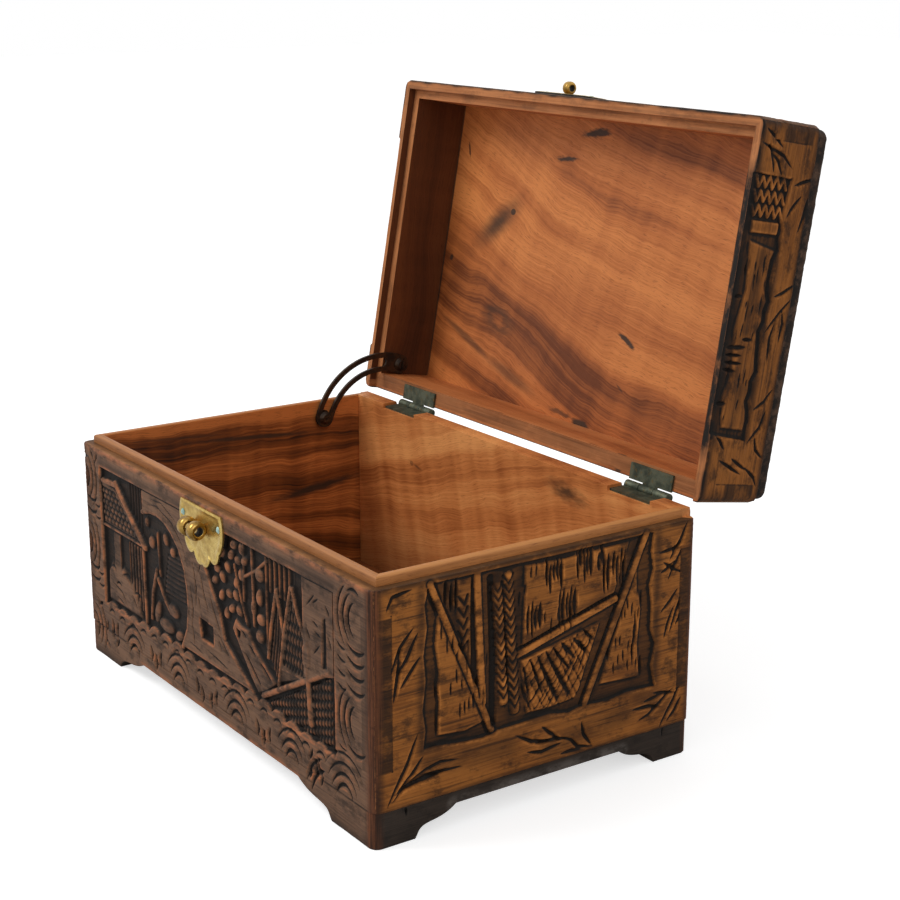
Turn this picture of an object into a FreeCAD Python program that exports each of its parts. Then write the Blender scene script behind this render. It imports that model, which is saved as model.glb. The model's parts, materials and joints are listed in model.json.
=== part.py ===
"""Carved wooden jewelry box: boarded box on bracket feet, hinged lid, slotted lid stay and brass clasp.

Millimetres, +Z up, +X to the box's right, +Y to its back. The box is modelled about the centre of its
footprint, with the lid and its fittings closed. The lid is then turned open, and everything moves forward
so that the origin lies on the surface that the feet stand on, under the middle of the open box.
"""
import FreeCAD, Part
import math
import os

from FreeCAD import Vector

# Box and lid
BOX_WIDTH = 305.0
BOX_DEPTH = 187.5
LEDGE_HEIGHT = 123.5
LID_HEIGHT = 47.0
WALL = 10.0
CORNER_RADIUS = 5.0
OPEN_ANGLE = 100.0

# Interlocking rim: a lip inside the box's ledge drops into a rebate in the lid
LIP_WIDTH = 4.6
LIP_HEIGHT = 4.4
LIP_ROUND = 1.5
RIM_GAP = 0.4

# Corner joints: one wide finger between two mitred shoulders
BOX_FINGER_FOOT = 19.0
BOX_FINGER_HEAD = 17.0
LID_FINGER_FOOT = 9.0
LID_FINGER_HEAD = 8.0

# Plinth with bracket feet, and the bottom board that it carries
PLINTH_HEIGHT = 18.0
PLINTH_THICKNESS = 14.0
PLINTH_INSET = 1.0
SIDE_FOOT_FLAT = 23.0
SIDE_FOOT_CURVE = 22.0
SIDE_ARCH_HEIGHT = 11.5
FRONT_FOOT_FLAT = 38.0
FRONT_FOOT_CURVE = 30.0
FRONT_ARCH_HEIGHT = 11.0
BOTTOM_THICKNESS = 3.0
BOTTOM_GAP = 0.2

# Sunk fields that the carving lies in
FIELD_DEPTH = 2.5
FIELD_RADIUS = 4.0
FRONT_FIELD_LEFT = 22.5
FRONT_FIELD_RIGHT = 33.0
FRONT_FIELD_HEAD = 9.3
FRONT_FIELD_FOOT = 36.0
PANEL_DEPTH = 1.5
PANEL_SIDE = 27.25
PANEL_HEAD = 2.0
PANEL_FOOT = 42.0

# Lid top board
TOP_THICKNESS = 8.0
TOP_INSET = 1.5
TOP_ROUND = 3.0
TOP_FIELD_BORDER = 22.0

# Carved scene: each form's drop below the board's face, and its outline on a sheet of this size.
# The front shows the whole sheet. The lid's top shows what lies right of LID_SCENE_START, mirrored.
SCENE_WIDTH = 249.5
SCENE_HEIGHT = 78.2
LID_SCENE_START = 54.5
LID_SCENE_SHARE = 0.737
SCENE_FORMS = {
    "roof": (0.8, ((-4, 44.5), (54.5, 44.5), (19, 73.5), (17, 71), (-4, 70.5))),
    "wall": (1.4, ((31.5, 4), (51, 4), (51, 45), (31.5, 45))),
    "rock": (0.6, ((-4, -4), (-4, 16), (8, 26.5), (24, 26.5), (33, 22.5), (40, 16), (46, 8), (50, -4))),
    "trunk": (0.4, ((52, 82), (122, 82), (124, 56), (139, 35), (144, 21), (158, 12), (178, -4), (92, -4),
        (102, 14), (104, 28), (103, 38), (100, 48), (95, 56), (87, 62.5), (79, 66.5), (70, 68), (52, 65))),
    "roots": (0.7, ((154, 37), (168, 34.5), (175, 27), (196, 15), (186, 8), (172, 2), (159, 20),
        (150, 30))),
    "left_stem": (0.9, ((171.2, 36), (173.8, 36), (173.3, 82), (170.7, 82))),
    "right_stem": (0.9, ((185, 22), (187, 22), (187, 82), (185, 82))),
    "small_sail": (1.3, ((196, 62), (187.5, 26), (194, 16), (202, 40))),
    "large_sail": (1.1, ((210, 67), (198, 26), (196.5, 16), (222, 26), (221.5, 48))),
    "board": (0.5, ((220.5, 27), (254, 38), (254, 82), (220, 82))),
    "net": (1.6, ((186, 3), (242, 34), (245, 35), (246, -4), (190, -4))),
    "rail": (0.2, ((181.7, 3.1), (244.7, 36.1), (243.3, 38.9), (180.3, 5.9))),
    "post": (0.1, ((220.5, 34), (222.1, 34), (224.6, 6), (228.4, 6), (227.5, 44), (224.5, 47.5),
        (220.5, 43))),
}
CLOUD_COUNT = 9
CLOUD_DROP = 0.8
CLOUD_HALF_WIDTH = 12.0
CLOUD_HALF_HEIGHT = 8.0
CLOUD_FROM_HEAD = 12.0

# Carved ends: flat grounds as above, and bars with their width, start and end, on a sheet seen from outside.
END_SHEET_WIDTH = 133.0
END_SHEET_HEIGHT = 79.5
END_GROUNDS = {
    "left_bank": (0.35, ((7, 5.5), (6, 22), (7.5, 36), (5.5, 50), (6, 56.5), (9, 57), (31, 6.5), (22.5, 4))),
    "left_sky": (0.9, ((9.5, 78.5), (24.5, 78.5), (25, 41))),
    "sky": (0.4, ((54.5, 39.2), (55.5, 78), (76.5, 77), (121.5, 78), (115, 60), (111.5, 54.3))),
    "net": (0.3, ((53.5, 31), (101.5, 41), (87.5, 5), (70.5, 3.5), (57.5, 4))),
    "right_bank": (0.35, ((100.5, 8), (126.5, 6.5), (125, 24), (126.5, 42), (124, 58), (123.5, 60))),
}
END_BARS = {
    "left_spar": (0.05, 3.6, (3.5, 79), (37.5, 1.5)),
    "right_spar": (0.05, 3.6, (128.5, 79.5), (92.5, 1)),
    "yard": (0.05, 3.6, (51.5, 34.5), (110, 50)),
    "mast": (0.05, 4.0, (29, 79.5), (32.5, 16)),
    "left_rope": (0.2, 5.2, (40.5, 70), (44.5, 14)),
    "right_rope": (0.2, 5.2, (46.5, 74), (51, 8)),
}

# Butt hinges
HINGE_WIDTH = 32.0
HINGE_LEFT_FROM_END = 54.5
HINGE_RIGHT_FROM_END = 40.5
LEAF_DEPTH = 8.6
LEAF_THICKNESS = 1.2
LEAF_GAP = 0.6
BARREL_RADIUS = 2.4
BARREL_CLEARANCE = 0.6
KNUCKLE_GAP = 0.4
PIN_RADIUS = 1.0
PIN_FIT = 0.05
MORTISE_FIT = 0.4

# Square cut nails, in holes of their own size
NAIL_SIDE = 1.4
NAIL_LENGTH = 7.0
NAIL_HEAD_RADIUS = 1.8
NAIL_CROWN_RADIUS = 0.9
NAIL_HEAD_HEIGHT = 0.7
NAIL_FIT = 0.03
COUNTERSINK_DEPTH = 0.9
HINGE_NAIL_EDGE = 3.4
HINGE_NAIL_SPACING = 20.0

# Slotted stay on the left: it turns on a screw in the lid and slides on a screw in the box
STAY_PIVOT_FROM_BACK = 16.5
STAY_PIVOT_ABOVE_LEDGE = 16.0
STAY_SCREW_FROM_BACK = 35.5
STAY_SCREW_BELOW_LEDGE = 6.0
STAY_ARC_RADIUS = 41.0
STAY_WIDTH = 11.6
STAY_THICKNESS = 1.6
STAY_SLOT_WIDTH = 5.6
STAY_SLOT_START = 13.0
STAY_STOP_GAP = 0.3
STAY_SIDE_GAP = 0.3
SCREW_RADIUS = 1.25
SCREW_DEPTH = 6.5
SCREW_HEAD_RADIUS = 4.0
SCREW_CROWN_RADIUS = 2.4
SCREW_HEAD_HEIGHT = 1.8
SCREW_SLOT_WIDTH = 0.8
SCREW_SLOT_DEPTH = 0.7
WASHER_RADIUS = 4.6
WASHER_THICKNESS = 0.8

# Clasp: lobed plates, two eyes on the box and one on the lid
CLASP_X = -6.0
PLATE_HALF_WIDTH = 23.0
PLATE_HEIGHT = 30.0
PLATE_THICKNESS = 1.0
PLATE_RIM_MARGIN = 1.5
PLATE_SEAT_MARGIN = 1.5
EYE_RADIUS = 5.0
EYE_WIDTH = 6.0
EYE_CHAMFER = 1.7
EYE_HOLE_RADIUS = 2.1
EYE_SPACING = 10.0
BOX_EYE_DROP = 11.5
LID_EYE_RADIUS = 3.6
LID_EYE_WIDTH = 5.0
LID_EYE_CHAMFER = 1.2
LID_EYE_HOLE_RADIUS = 1.5
LID_EYE_RISE = 8.0
EYE_STEM_RADIUS = 1.8
EYE_STEM_LENGTH = 7.0
CLASP_NAIL_SPREAD = 38.0
CLASP_NAIL_DROP = 7.0

# Worked out from the sizes above
HALF_W = BOX_WIDTH / 2
HALF_D = BOX_DEPTH / 2
LEDGE = WALL - LIP_WIDTH
LIP_TOP = LEDGE_HEIGHT + LIP_HEIGHT
LID_RIM = LEDGE_HEIGHT + RIM_GAP
LID_BACK_RIM = LIP_TOP + RIM_GAP
RAIL_TOP = LEDGE_HEIGHT + LID_HEIGHT - TOP_THICKNESS
HINGE_Y = HALF_D + BARREL_RADIUS + BARREL_CLEARANCE
HINGE_Z = LID_BACK_RIM - LEAF_THICKNESS - LEAF_GAP / 2
MORTISE_FLOOR = HINGE_Z - LEAF_GAP / 2 - LEAF_THICKNESS
HINGE_AXIS = Vector(0, HINGE_Y, HINGE_Z)
HINGE_LEFT_X = -HALF_W + HINGE_LEFT_FROM_END
HINGE_RIGHT_X = HALF_W - HINGE_RIGHT_FROM_END
X_AXIS = Vector(1, 0, 0)
INNER_LEFT = -HALF_W + WALL
STAY_X = INNER_LEFT + WASHER_THICKNESS + STAY_SIDE_GAP
BOX_EYE_Z = LEDGE_HEIGHT - BOX_EYE_DROP
LID_EYE_Z = LID_RIM + LID_EYE_RISE


def block(x0, x1, y0, y1, z0, z1):
    """Box between two corners."""
    return Part.makeBox(x1 - x0, y1 - y0, z1 - z0, Vector(x0, y0, z0))


def prism(points, direction):
    """Closed polygon pushed along a vector."""
    return Part.Face(Part.makePolygon(points + points[:1])).extrude(direction)


def rounded_block(half_x, half_y, z0, z1, radius):
    """Box centred on Z with rounded upright edges."""
    solid = block(-half_x, half_x, -half_y, half_y, z0, z1)
    upright = [edge for edge in solid.Edges if abs(edge.tangentAt(edge.FirstParameter).z) > 0.9]
    return solid.makeFillet(radius, upright)


def rod(radius, start, direction, length):
    """Cylinder from a point along a direction."""
    return Part.makeCylinder(radius, length, start, direction)


def is_level_at(edge, z):
    """True if an edge lies in the level plane at height z."""
    box = edge.BoundBox
    return abs(box.ZMin - z) < 1e-6 and abs(box.ZMax - z) < 1e-6


def opened(shape):
    """Copy of a shape turned from the closed lid to the open one."""
    turned = shape.copy()
    turned.rotate(HINGE_AXIS, X_AXIS, -OPEN_ANGLE)
    return turned


# Corner joints
def long_board_region(side, bottom, finger_foot, finger_head, top):
    """Space of a front (side -1) or back (side 1) board: mitred shoulders and a finger through the corner."""
    outer = side * HALF_D
    inner = side * (HALF_D - WALL)

    def slab(z0, z1, inner_half):
        corners = [(-HALF_W, outer), (HALF_W, outer), (inner_half, inner), (-inner_half, inner)]
        return prism([Vector(x, y, z0) for x, y in corners], Vector(0, 0, z1 - z0))

    region = slab(bottom, bottom + finger_foot, HALF_W - WALL)
    region = region.fuse(slab(bottom + finger_foot, top - finger_head, HALF_W))
    return region.fuse(slab(top - finger_head, top, HALF_W - WALL))


def split_frame(frame, bottom, finger_foot, finger_head, top):
    """Cut a four-sided frame into front, back, left and right boards along its corner joints."""
    front_space = long_board_region(-1, bottom, finger_foot, finger_head, top)
    back_space = long_board_region(1, bottom, finger_foot, finger_head, top)
    front = frame.common(front_space)
    back = frame.common(back_space)
    ends = frame.cut(front_space).cut(back_space)
    left = ends.common(block(-HALF_W, 0, -HALF_D, HALF_D, bottom, top))
    right = ends.common(block(0, HALF_W, -HALF_D, HALF_D, bottom, top))
    return front, back, left, right


# Nails and screws
def nail_shank(seat, inward, fit=0.0):
    """Square shank from a surface into the wood; with a fit, the hole that it fills."""
    half = NAIL_SIDE / 2 + fit
    across = inward.cross(X_AXIS)
    corners = [seat + X_AXIS * (a * half) + across * (b * half) for a, b in ((-1, -1), (1, -1), (1, 1), (-1, 1))]
    return prism(corners, inward * (NAIL_LENGTH + fit))


def nail(head_seat, inward):
    """Nail whose low conical head sits on a surface; inward points into the wood."""
    head = Part.makeCone(NAIL_HEAD_RADIUS, NAIL_CROWN_RADIUS, NAIL_HEAD_HEIGHT, head_seat, -inward)
    return head.fuse(nail_shank(head_seat, inward)).removeSplitter()


def flush_nail(seat, inward, fit=0.0):
    """Countersunk nail flush with a hinge leaf; with a fit, the hole that it fills."""
    cone = Part.makeCone(NAIL_HEAD_RADIUS + fit, NAIL_SIDE / 2 + fit, COUNTERSINK_DEPTH, seat, inward)
    return cone.fuse(nail_shank(seat, inward, fit)).removeSplitter()


def stay_screw(centre):
    """Slotted round-head screw along X whose shank starts in the left wall."""
    head_x = STAY_X + STAY_THICKNESS + STAY_SIDE_GAP
    shank_start = INNER_LEFT - SCREW_DEPTH
    shank = rod(SCREW_RADIUS, Vector(shank_start, centre.y, centre.z), X_AXIS, head_x - shank_start)
    seat = Vector(head_x, centre.y, centre.z)
    head = Part.makeCone(SCREW_HEAD_RADIUS, SCREW_CROWN_RADIUS, SCREW_HEAD_HEIGHT, seat, X_AXIS)
    slot_x = head_x + SCREW_HEAD_HEIGHT - SCREW_SLOT_DEPTH
    slot = block(slot_x, head_x + SCREW_HEAD_HEIGHT, centre.y - SCREW_HEAD_RADIUS, centre.y + SCREW_HEAD_RADIUS,
                 centre.z - SCREW_SLOT_WIDTH / 2, centre.z + SCREW_SLOT_WIDTH / 2)
    return head.cut(slot).fuse(shank)


def screw_hole(centre):
    """Hole in the left wall that a stay screw's shank fills."""
    start = Vector(INNER_LEFT - SCREW_DEPTH - NAIL_FIT, centre.y, centre.z)
    return rod(SCREW_RADIUS + NAIL_FIT, start, X_AXIS, SCREW_DEPTH + NAIL_FIT)


def washer(centre):
    """Washer between the left wall and the stay."""
    start = Vector(INNER_LEFT, centre.y, centre.z)
    ring = rod(WASHER_RADIUS, start, X_AXIS, WASHER_THICKNESS)
    return ring.cut(rod(SCREW_RADIUS + NAIL_FIT, start, X_AXIS, WASHER_THICKNESS))


# Hinges
def knuckle_spans(centre_x):
    """X spans of a hinge's three knuckles, from left to right."""
    start = centre_x - HINGE_WIDTH / 2
    length = (HINGE_WIDTH - 2 * KNUCKLE_GAP) / 3
    return [(start + i * (length + KNUCKLE_GAP), start + i * (length + KNUCKLE_GAP) + length) for i in range(3)]


def hinge_leaf(centre_x, z0, own_knuckles):
    """Leaf plate with its own knuckles, cut away beside the other leaf's knuckles."""
    spans = knuckle_spans(centre_x)
    plate_end = HALF_D
    leaf = block(spans[0][0], spans[2][1], HALF_D - LEAF_DEPTH, plate_end, z0, z0 + LEAF_THICKNESS)
    for index in own_knuckles:
        x0, x1 = spans[index]
        leaf = leaf.fuse(block(x0, x1, plate_end, HINGE_Y, z0, z0 + LEAF_THICKNESS))
        leaf = leaf.fuse(rod(BARREL_RADIUS, Vector(x0, HINGE_Y, HINGE_Z), X_AXIS, x1 - x0))
    bore = rod(PIN_RADIUS + PIN_FIT, Vector(spans[0][0], HINGE_Y, HINGE_Z), X_AXIS, HINGE_WIDTH)
    return leaf.cut(bore).removeSplitter()


def hinge_nail_seats(centre_x, z):
    """Head seats of a leaf's two nails on the surface at height z."""
    y = HALF_D - LEAF_DEPTH + HINGE_NAIL_EDGE
    return [Vector(centre_x + sign * HINGE_NAIL_SPACING / 2, y, z) for sign in (-1, 1)]


def mortise(centre_x):
    """Notch in the back board's top that takes both closed leaves."""
    half = HINGE_WIDTH / 2 + MORTISE_FIT
    return block(centre_x - half, centre_x + half, HALF_D - WALL, HALF_D, MORTISE_FLOOR, LIP_TOP)


# Stay
def turned_open(y, z):
    """Point of the closed lid once the lid is open, in the stay's plane."""
    point = Vector(STAY_X, y, z)
    spin = FreeCAD.Rotation(X_AXIS, -OPEN_ANGLE)
    return HINGE_AXIS + spin.multVec(point - HINGE_AXIS)


def arc_centre(first, second, radius):
    """Lower of the two centres of an arc of a radius through two points in the stay's plane."""
    middle = (first + second) * 0.5
    chord = second - first
    rise = math.sqrt(radius ** 2 - chord.Length ** 2 / 4)
    normal = Vector(0, chord.z, -chord.y).normalize()
    if normal.z > 0:
        normal = -normal
    return middle + normal * rise


def curved_bar(centre, radius, start, end, width):
    """Flat bar with round ends along an arc in the stay's plane; start and end are angles in radians."""

    def at(r, angle):
        return Vector(STAY_X, centre.y + r * math.cos(angle), centre.z + r * math.sin(angle))

    half = width / 2
    middle = (start + end) / 2
    cap = math.copysign(half / radius, end - start)
    outer = Part.Arc(at(radius + half, start), at(radius + half, middle), at(radius + half, end)).toShape()
    inner = Part.Arc(at(radius - half, end), at(radius - half, middle), at(radius - half, start)).toShape()
    far = Part.Arc(at(radius + half, end), at(radius, end + cap), at(radius - half, end)).toShape()
    near = Part.Arc(at(radius - half, start), at(radius, start - cap), at(radius + half, start)).toShape()
    face = Part.Face(Part.Wire([outer, far, inner, near]))
    return face.extrude(Vector(STAY_THICKNESS, 0, 0))


def stay_arm(pivot, screw):
    """Curved arm with a pivot hole and a slot that ends at the screw while the lid is open."""
    centre = arc_centre(pivot, screw, STAY_ARC_RADIUS)
    pivot_angle = math.atan2(pivot.z - centre.z, pivot.y - centre.y)
    screw_angle = math.atan2(screw.z - centre.z, screw.y - centre.y)
    slot_start = pivot_angle + STAY_SLOT_START / STAY_ARC_RADIUS
    stop = STAY_SLOT_WIDTH / 2 - SCREW_RADIUS - STAY_STOP_GAP
    slot_end = screw_angle - stop / STAY_ARC_RADIUS
    arm = curved_bar(centre, STAY_ARC_RADIUS, pivot_angle, screw_angle, STAY_WIDTH)
    arm = arm.cut(curved_bar(centre, STAY_ARC_RADIUS, slot_start, slot_end, STAY_SLOT_WIDTH))
    return arm.cut(rod(SCREW_RADIUS + PIN_FIT, pivot, X_AXIS, STAY_THICKNESS))


# Clasp
def clasp_plate(flat_z, lobes):
    """Lobed plate on the front face: straight edge at flat_z, lobes up (1) or down (-1)."""
    surface = -HALF_D

    def at(x, z):
        return Vector(CLASP_X + x * PLATE_HALF_WIDTH, surface, flat_z + lobes * z * PLATE_HEIGHT)

    arcs = [
        (at(0.92, 0.0), at(1.0, 0.36), at(0.80, 0.68)),
        (at(0.80, 0.68), at(0.66, 0.86), at(0.38, 0.84)),
        (at(0.38, 0.84), at(0.28, 0.97), at(0.0, 1.0)),
        (at(0.0, 1.0), at(-0.28, 0.97), at(-0.38, 0.84)),
        (at(-0.38, 0.84), at(-0.66, 0.86), at(-0.80, 0.68)),
        (at(-0.80, 0.68), at(-1.0, 0.36), at(-0.92, 0.0)),
    ]
    edges = [Part.Arc(*points).toShape() for points in arcs]
    edges.append(Part.makeLine(at(-0.92, 0.0), at(0.92, 0.0)))
    return Part.Face(Part.Wire(edges)).extrude(Vector(0, -PLATE_THICKNESS, 0))


def eye_stem(x, z, radius):
    """Start and length of an eye's round stem, through the plate and into the wood."""
    start = Vector(x, -HALF_D - PLATE_THICKNESS - radius, z)
    return start, radius + PLATE_THICKNESS + EYE_STEM_LENGTH


def clasp_eye(x, z, radius, width, chamfer, hole_radius):
    """Fat rounded eye on a stem, with its hole along X."""
    start, length = eye_stem(x, z, radius)
    side = start - X_AXIS * (width / 2)
    ring = rod(radius, side, X_AXIS, width)
    rims = [edge for edge in ring.Edges if edge.BoundBox.XLength < 1e-6]
    eye = ring.makeChamfer(chamfer, rims).fuse(rod(EYE_STEM_RADIUS, start, Vector(0, 1, 0), length))
    return eye.cut(rod(hole_radius, side, X_AXIS, width))


def eye_hole(x, z, radius):
    """Hole through plate and wood for an eye's stem."""
    start, length = eye_stem(x, z, radius)
    return rod(EYE_STEM_RADIUS + NAIL_FIT, start, Vector(0, 1, 0), length + NAIL_FIT)


def clasp_nail_seats(flat_z, lobes):
    """Head seats of a clasp plate's two nails."""
    y = -HALF_D - PLATE_THICKNESS
    z = flat_z + lobes * CLASP_NAIL_DROP
    return [Vector(CLASP_X + sign * CLASP_NAIL_SPREAD / 2, y, z) for sign in (-1, 1)]


# Carved fields
def leave_form(space, depth, drop, outline, inward):
    """Space to cut out of a field, less one form that stands in it; the outline lies in the board's face."""
    points = [point + inward * drop for point in outline]
    return space.cut(prism(points, inward * (depth - drop)))


def bar_outline(width, start, end):
    """Corners of a straight bar from its width and the ends of its middle line."""
    along = Vector(end[0] - start[0], end[1] - start[1], 0).normalize()
    across = Vector(-along.y, along.x, 0) * (width / 2)
    corners = [Vector(*point, 0) + across * side for point, side in ((start, 1), (start, -1), (end, -1), (end, 1))]
    return [(corner.x, corner.y) for corner in corners]


def front_scene(space):
    """Space cut out of the front, less the forms of the scene."""
    width = BOX_WIDTH - FRONT_FIELD_LEFT - FRONT_FIELD_RIGHT
    height = LEDGE_HEIGHT - FRONT_FIELD_HEAD - FRONT_FIELD_FOOT

    corner = Vector(-HALF_W + FRONT_FIELD_LEFT, -HALF_D, FRONT_FIELD_FOOT)

    def at(x, z):
        return corner + Vector(x * width / SCENE_WIDTH, 0, z * height / SCENE_HEIGHT)

    for drop, outline in SCENE_FORMS.values():
        space = leave_form(space, FIELD_DEPTH, drop, [at(x, z) for x, z in outline], Vector(0, 1, 0))
    return space


def end_scene(space, side):
    """Space cut out of the left (side -1) or right (side 1) end, less the forms of its carving."""
    width = BOX_DEPTH - 2 * PANEL_SIDE
    height = LEDGE_HEIGHT - PANEL_HEAD - PANEL_FOOT

    def at(x, z):
        along = x * width / END_SHEET_WIDTH - width / 2
        return Vector(side * HALF_W, side * along, PANEL_FOOT + z * height / END_SHEET_HEIGHT)

    forms = list(END_GROUNDS.values())
    forms += [(drop, bar_outline(*bar)) for drop, *bar in END_BARS.values()]
    for drop, outline in forms:
        space = leave_form(space, PANEL_DEPTH, drop, [at(x, z) for x, z in outline], Vector(-side, 0, 0))
    return space


def lid_scene(space, half_x, half_y, top):
    """Space cut out of the closed lid's top, less the forms of the scene and its clouds."""
    scale_x = 2 * half_x / (SCENE_WIDTH - LID_SCENE_START)
    scale_y = 2 * half_y * LID_SCENE_SHARE / SCENE_HEIGHT
    inward = Vector(0, 0, -1)

    def at(x, z):
        return Vector(half_x - (x - LID_SCENE_START) * scale_x, -half_y + z * scale_y, top)

    for drop, outline in SCENE_FORMS.values():
        if max(x for x, z in outline) > LID_SCENE_START:
            space = leave_form(space, FIELD_DEPTH, drop, [at(x, z) for x, z in outline], inward)
    pitch = 2 * half_x / CLOUD_COUNT
    turns = [math.radians(22.5 + 45 * n) for n in range(8)]
    cloud = [Vector(CLOUD_HALF_WIDTH * math.cos(t), CLOUD_HALF_HEIGHT * math.sin(t), 0) for t in turns]
    for index in range(CLOUD_COUNT):
        centre = Vector(-half_x + (index + 0.5) * pitch, half_y - CLOUD_FROM_HEAD, top)
        space = leave_form(space, FIELD_DEPTH, CLOUD_DROP, [centre + corner for corner in cloud], inward)
    return space


# Box
def box_frame():
    """Four walls in one piece, with the rim's ledge and lip and the carved front and ends."""
    inner = block(-HALF_W + WALL, HALF_W - WALL, -HALF_D + WALL, HALF_D - WALL, PLINTH_HEIGHT, LIP_TOP)
    walls = rounded_block(HALF_W, HALF_D, PLINTH_HEIGHT, LEDGE_HEIGHT, CORNER_RADIUS)
    lip = block(-HALF_W + LEDGE, HALF_W - LEDGE, -HALF_D + LEDGE, HALF_D, LEDGE_HEIGHT, LIP_TOP)
    outer_top = [edge for edge in lip.Edges if is_level_at(edge, LIP_TOP) and edge.BoundBox.YMin < HALF_D - LEDGE]
    lip = lip.makeFillet(LIP_ROUND, outer_top)
    frame = walls.fuse(lip).cut(inner)
    field = block(-HALF_W + FRONT_FIELD_LEFT, HALF_W - FRONT_FIELD_RIGHT, -HALF_D, -HALF_D + FIELD_DEPTH,
                  FRONT_FIELD_FOOT, LEDGE_HEIGHT - FRONT_FIELD_HEAD)
    through = [edge for edge in field.Edges if edge.BoundBox.YLength > FIELD_DEPTH / 2]
    seat_half = PLATE_HALF_WIDTH + PLATE_SEAT_MARGIN
    seat_foot = LEDGE_HEIGHT - PLATE_RIM_MARGIN - PLATE_HEIGHT - PLATE_SEAT_MARGIN
    seat = block(CLASP_X - seat_half, CLASP_X + seat_half, -HALF_D, -HALF_D + FIELD_DEPTH, seat_foot, LEDGE_HEIGHT)
    frame = frame.cut(front_scene(field.makeFillet(FIELD_RADIUS, through).cut(seat)))
    panel_half = HALF_D - PANEL_SIDE
    for side, left_x in ((-1, -HALF_W), (1, HALF_W - PANEL_DEPTH)):
        panel = block(left_x, left_x + PANEL_DEPTH, -panel_half, panel_half, PANEL_FOOT, LEDGE_HEIGHT - PANEL_HEAD)
        through = [edge for edge in panel.Edges if edge.BoundBox.XLength > PANEL_DEPTH / 2]
        frame = frame.cut(end_scene(panel.makeFillet(FIELD_RADIUS, through), side))
    return frame.removeSplitter()


def foot_arch(flat, curve, height, half_span, point):
    """Space under an apron between two bracket feet; point turns (along, up) into a place in the plane."""
    start = half_span - flat
    end = start - curve
    bends = ((1.0, 0.0), (0.9, 0.85), (0.45, 0.3), (0.0, 1.0))
    right = [point(end + curve * along, height * up) for along, up in bends]
    left = [point(-end - curve * along, height * up) for along, up in bends]
    edges = []
    for poles in (right, left[::-1]):
        ogee = Part.BezierCurve()
        ogee.setPoles(poles)
        edges.append(ogee.toShape())
    edges.insert(1, Part.makeLine(right[-1], left[-1]))
    edges.append(Part.makeLine(left[0], right[0]))
    return Part.Face(Part.Wire(edges))


def plinth_frame():
    """Plinth in one piece with the arches between its bracket feet."""
    half_x = HALF_W - PLINTH_INSET
    frame = rounded_block(half_x, HALF_D, 0, PLINTH_HEIGHT, CORNER_RADIUS)
    inner_x = HALF_W - PLINTH_THICKNESS
    inner_y = HALF_D - PLINTH_THICKNESS
    frame = frame.cut(block(-inner_x, inner_x, -inner_y, inner_y, 0, PLINTH_HEIGHT))
    front = foot_arch(FRONT_FOOT_FLAT, FRONT_FOOT_CURVE, FRONT_ARCH_HEIGHT, HALF_W, lambda a, z: Vector(a, -HALF_D, z))
    side = foot_arch(SIDE_FOOT_FLAT, SIDE_FOOT_CURVE, SIDE_ARCH_HEIGHT, HALF_D, lambda a, z: Vector(-HALF_W, a, z))
    frame = frame.cut(front.extrude(Vector(0, BOX_DEPTH, 0)))
    return frame.cut(side.extrude(Vector(BOX_WIDTH, 0, 0)))


def plinth_boards():
    """Plinth cut into four boards along its corner mitres."""
    frame = plinth_frame()
    parts = []
    for side in (-1, 1):
        corners = [(-HALF_W, side * HALF_D), (HALF_W, side * HALF_D)]
        corners += [(sign * (HALF_W - PLINTH_THICKNESS), side * (HALF_D - PLINTH_THICKNESS)) for sign in (1, -1)]
        parts.append(frame.common(prism([Vector(x, y, 0) for x, y in corners], Vector(0, 0, PLINTH_HEIGHT))))
    for side in (-1, 1):
        corners = [(side * HALF_W, -HALF_D), (side * HALF_W, HALF_D)]
        corners += [(side * (HALF_W - PLINTH_THICKNESS), sign * (HALF_D - PLINTH_THICKNESS)) for sign in (1, -1)]
        parts.append(frame.common(prism([Vector(x, y, 0) for x, y in corners], Vector(0, 0, PLINTH_HEIGHT))))
    return parts


def bottom_board():
    """Bottom, let in between the walls and carried by the plinth."""
    half_x = HALF_W - WALL - BOTTOM_GAP
    half_y = HALF_D - WALL - BOTTOM_GAP
    return block(-half_x, half_x, -half_y, half_y, PLINTH_HEIGHT, PLINTH_HEIGHT + BOTTOM_THICKNESS)


# Lid
def lid_frame():
    """Four lid rails in one piece, closed, with the rebate that takes the box's lip."""
    frame = rounded_block(HALF_W, HALF_D, LID_RIM, RAIL_TOP, CORNER_RADIUS)
    inner = block(-HALF_W + WALL, HALF_W - WALL, -HALF_D + WALL, HALF_D - WALL, LID_RIM, RAIL_TOP)
    strip = LEDGE - RIM_GAP
    rebate = block(-HALF_W + strip, HALF_W - strip, -HALF_D + strip, HALF_D, LID_RIM, LID_BACK_RIM)
    return frame.cut(inner).cut(rebate)


def lid_top_board():
    """Top board with rounded upper edges and a carved scene."""
    top = LEDGE_HEIGHT + LID_HEIGHT
    half_x = HALF_W - TOP_INSET
    half_y = HALF_D - TOP_INSET
    board = rounded_block(half_x, half_y, RAIL_TOP, top, CORNER_RADIUS)
    board = board.makeFillet(TOP_ROUND, [edge for edge in board.Edges if is_level_at(edge, top)])
    half_x -= TOP_FIELD_BORDER
    half_y -= TOP_FIELD_BORDER
    field = rounded_block(half_x, half_y, top - FIELD_DEPTH, top, FIELD_RADIUS)
    return board.cut(lid_scene(field, half_x, half_y, top))


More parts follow.
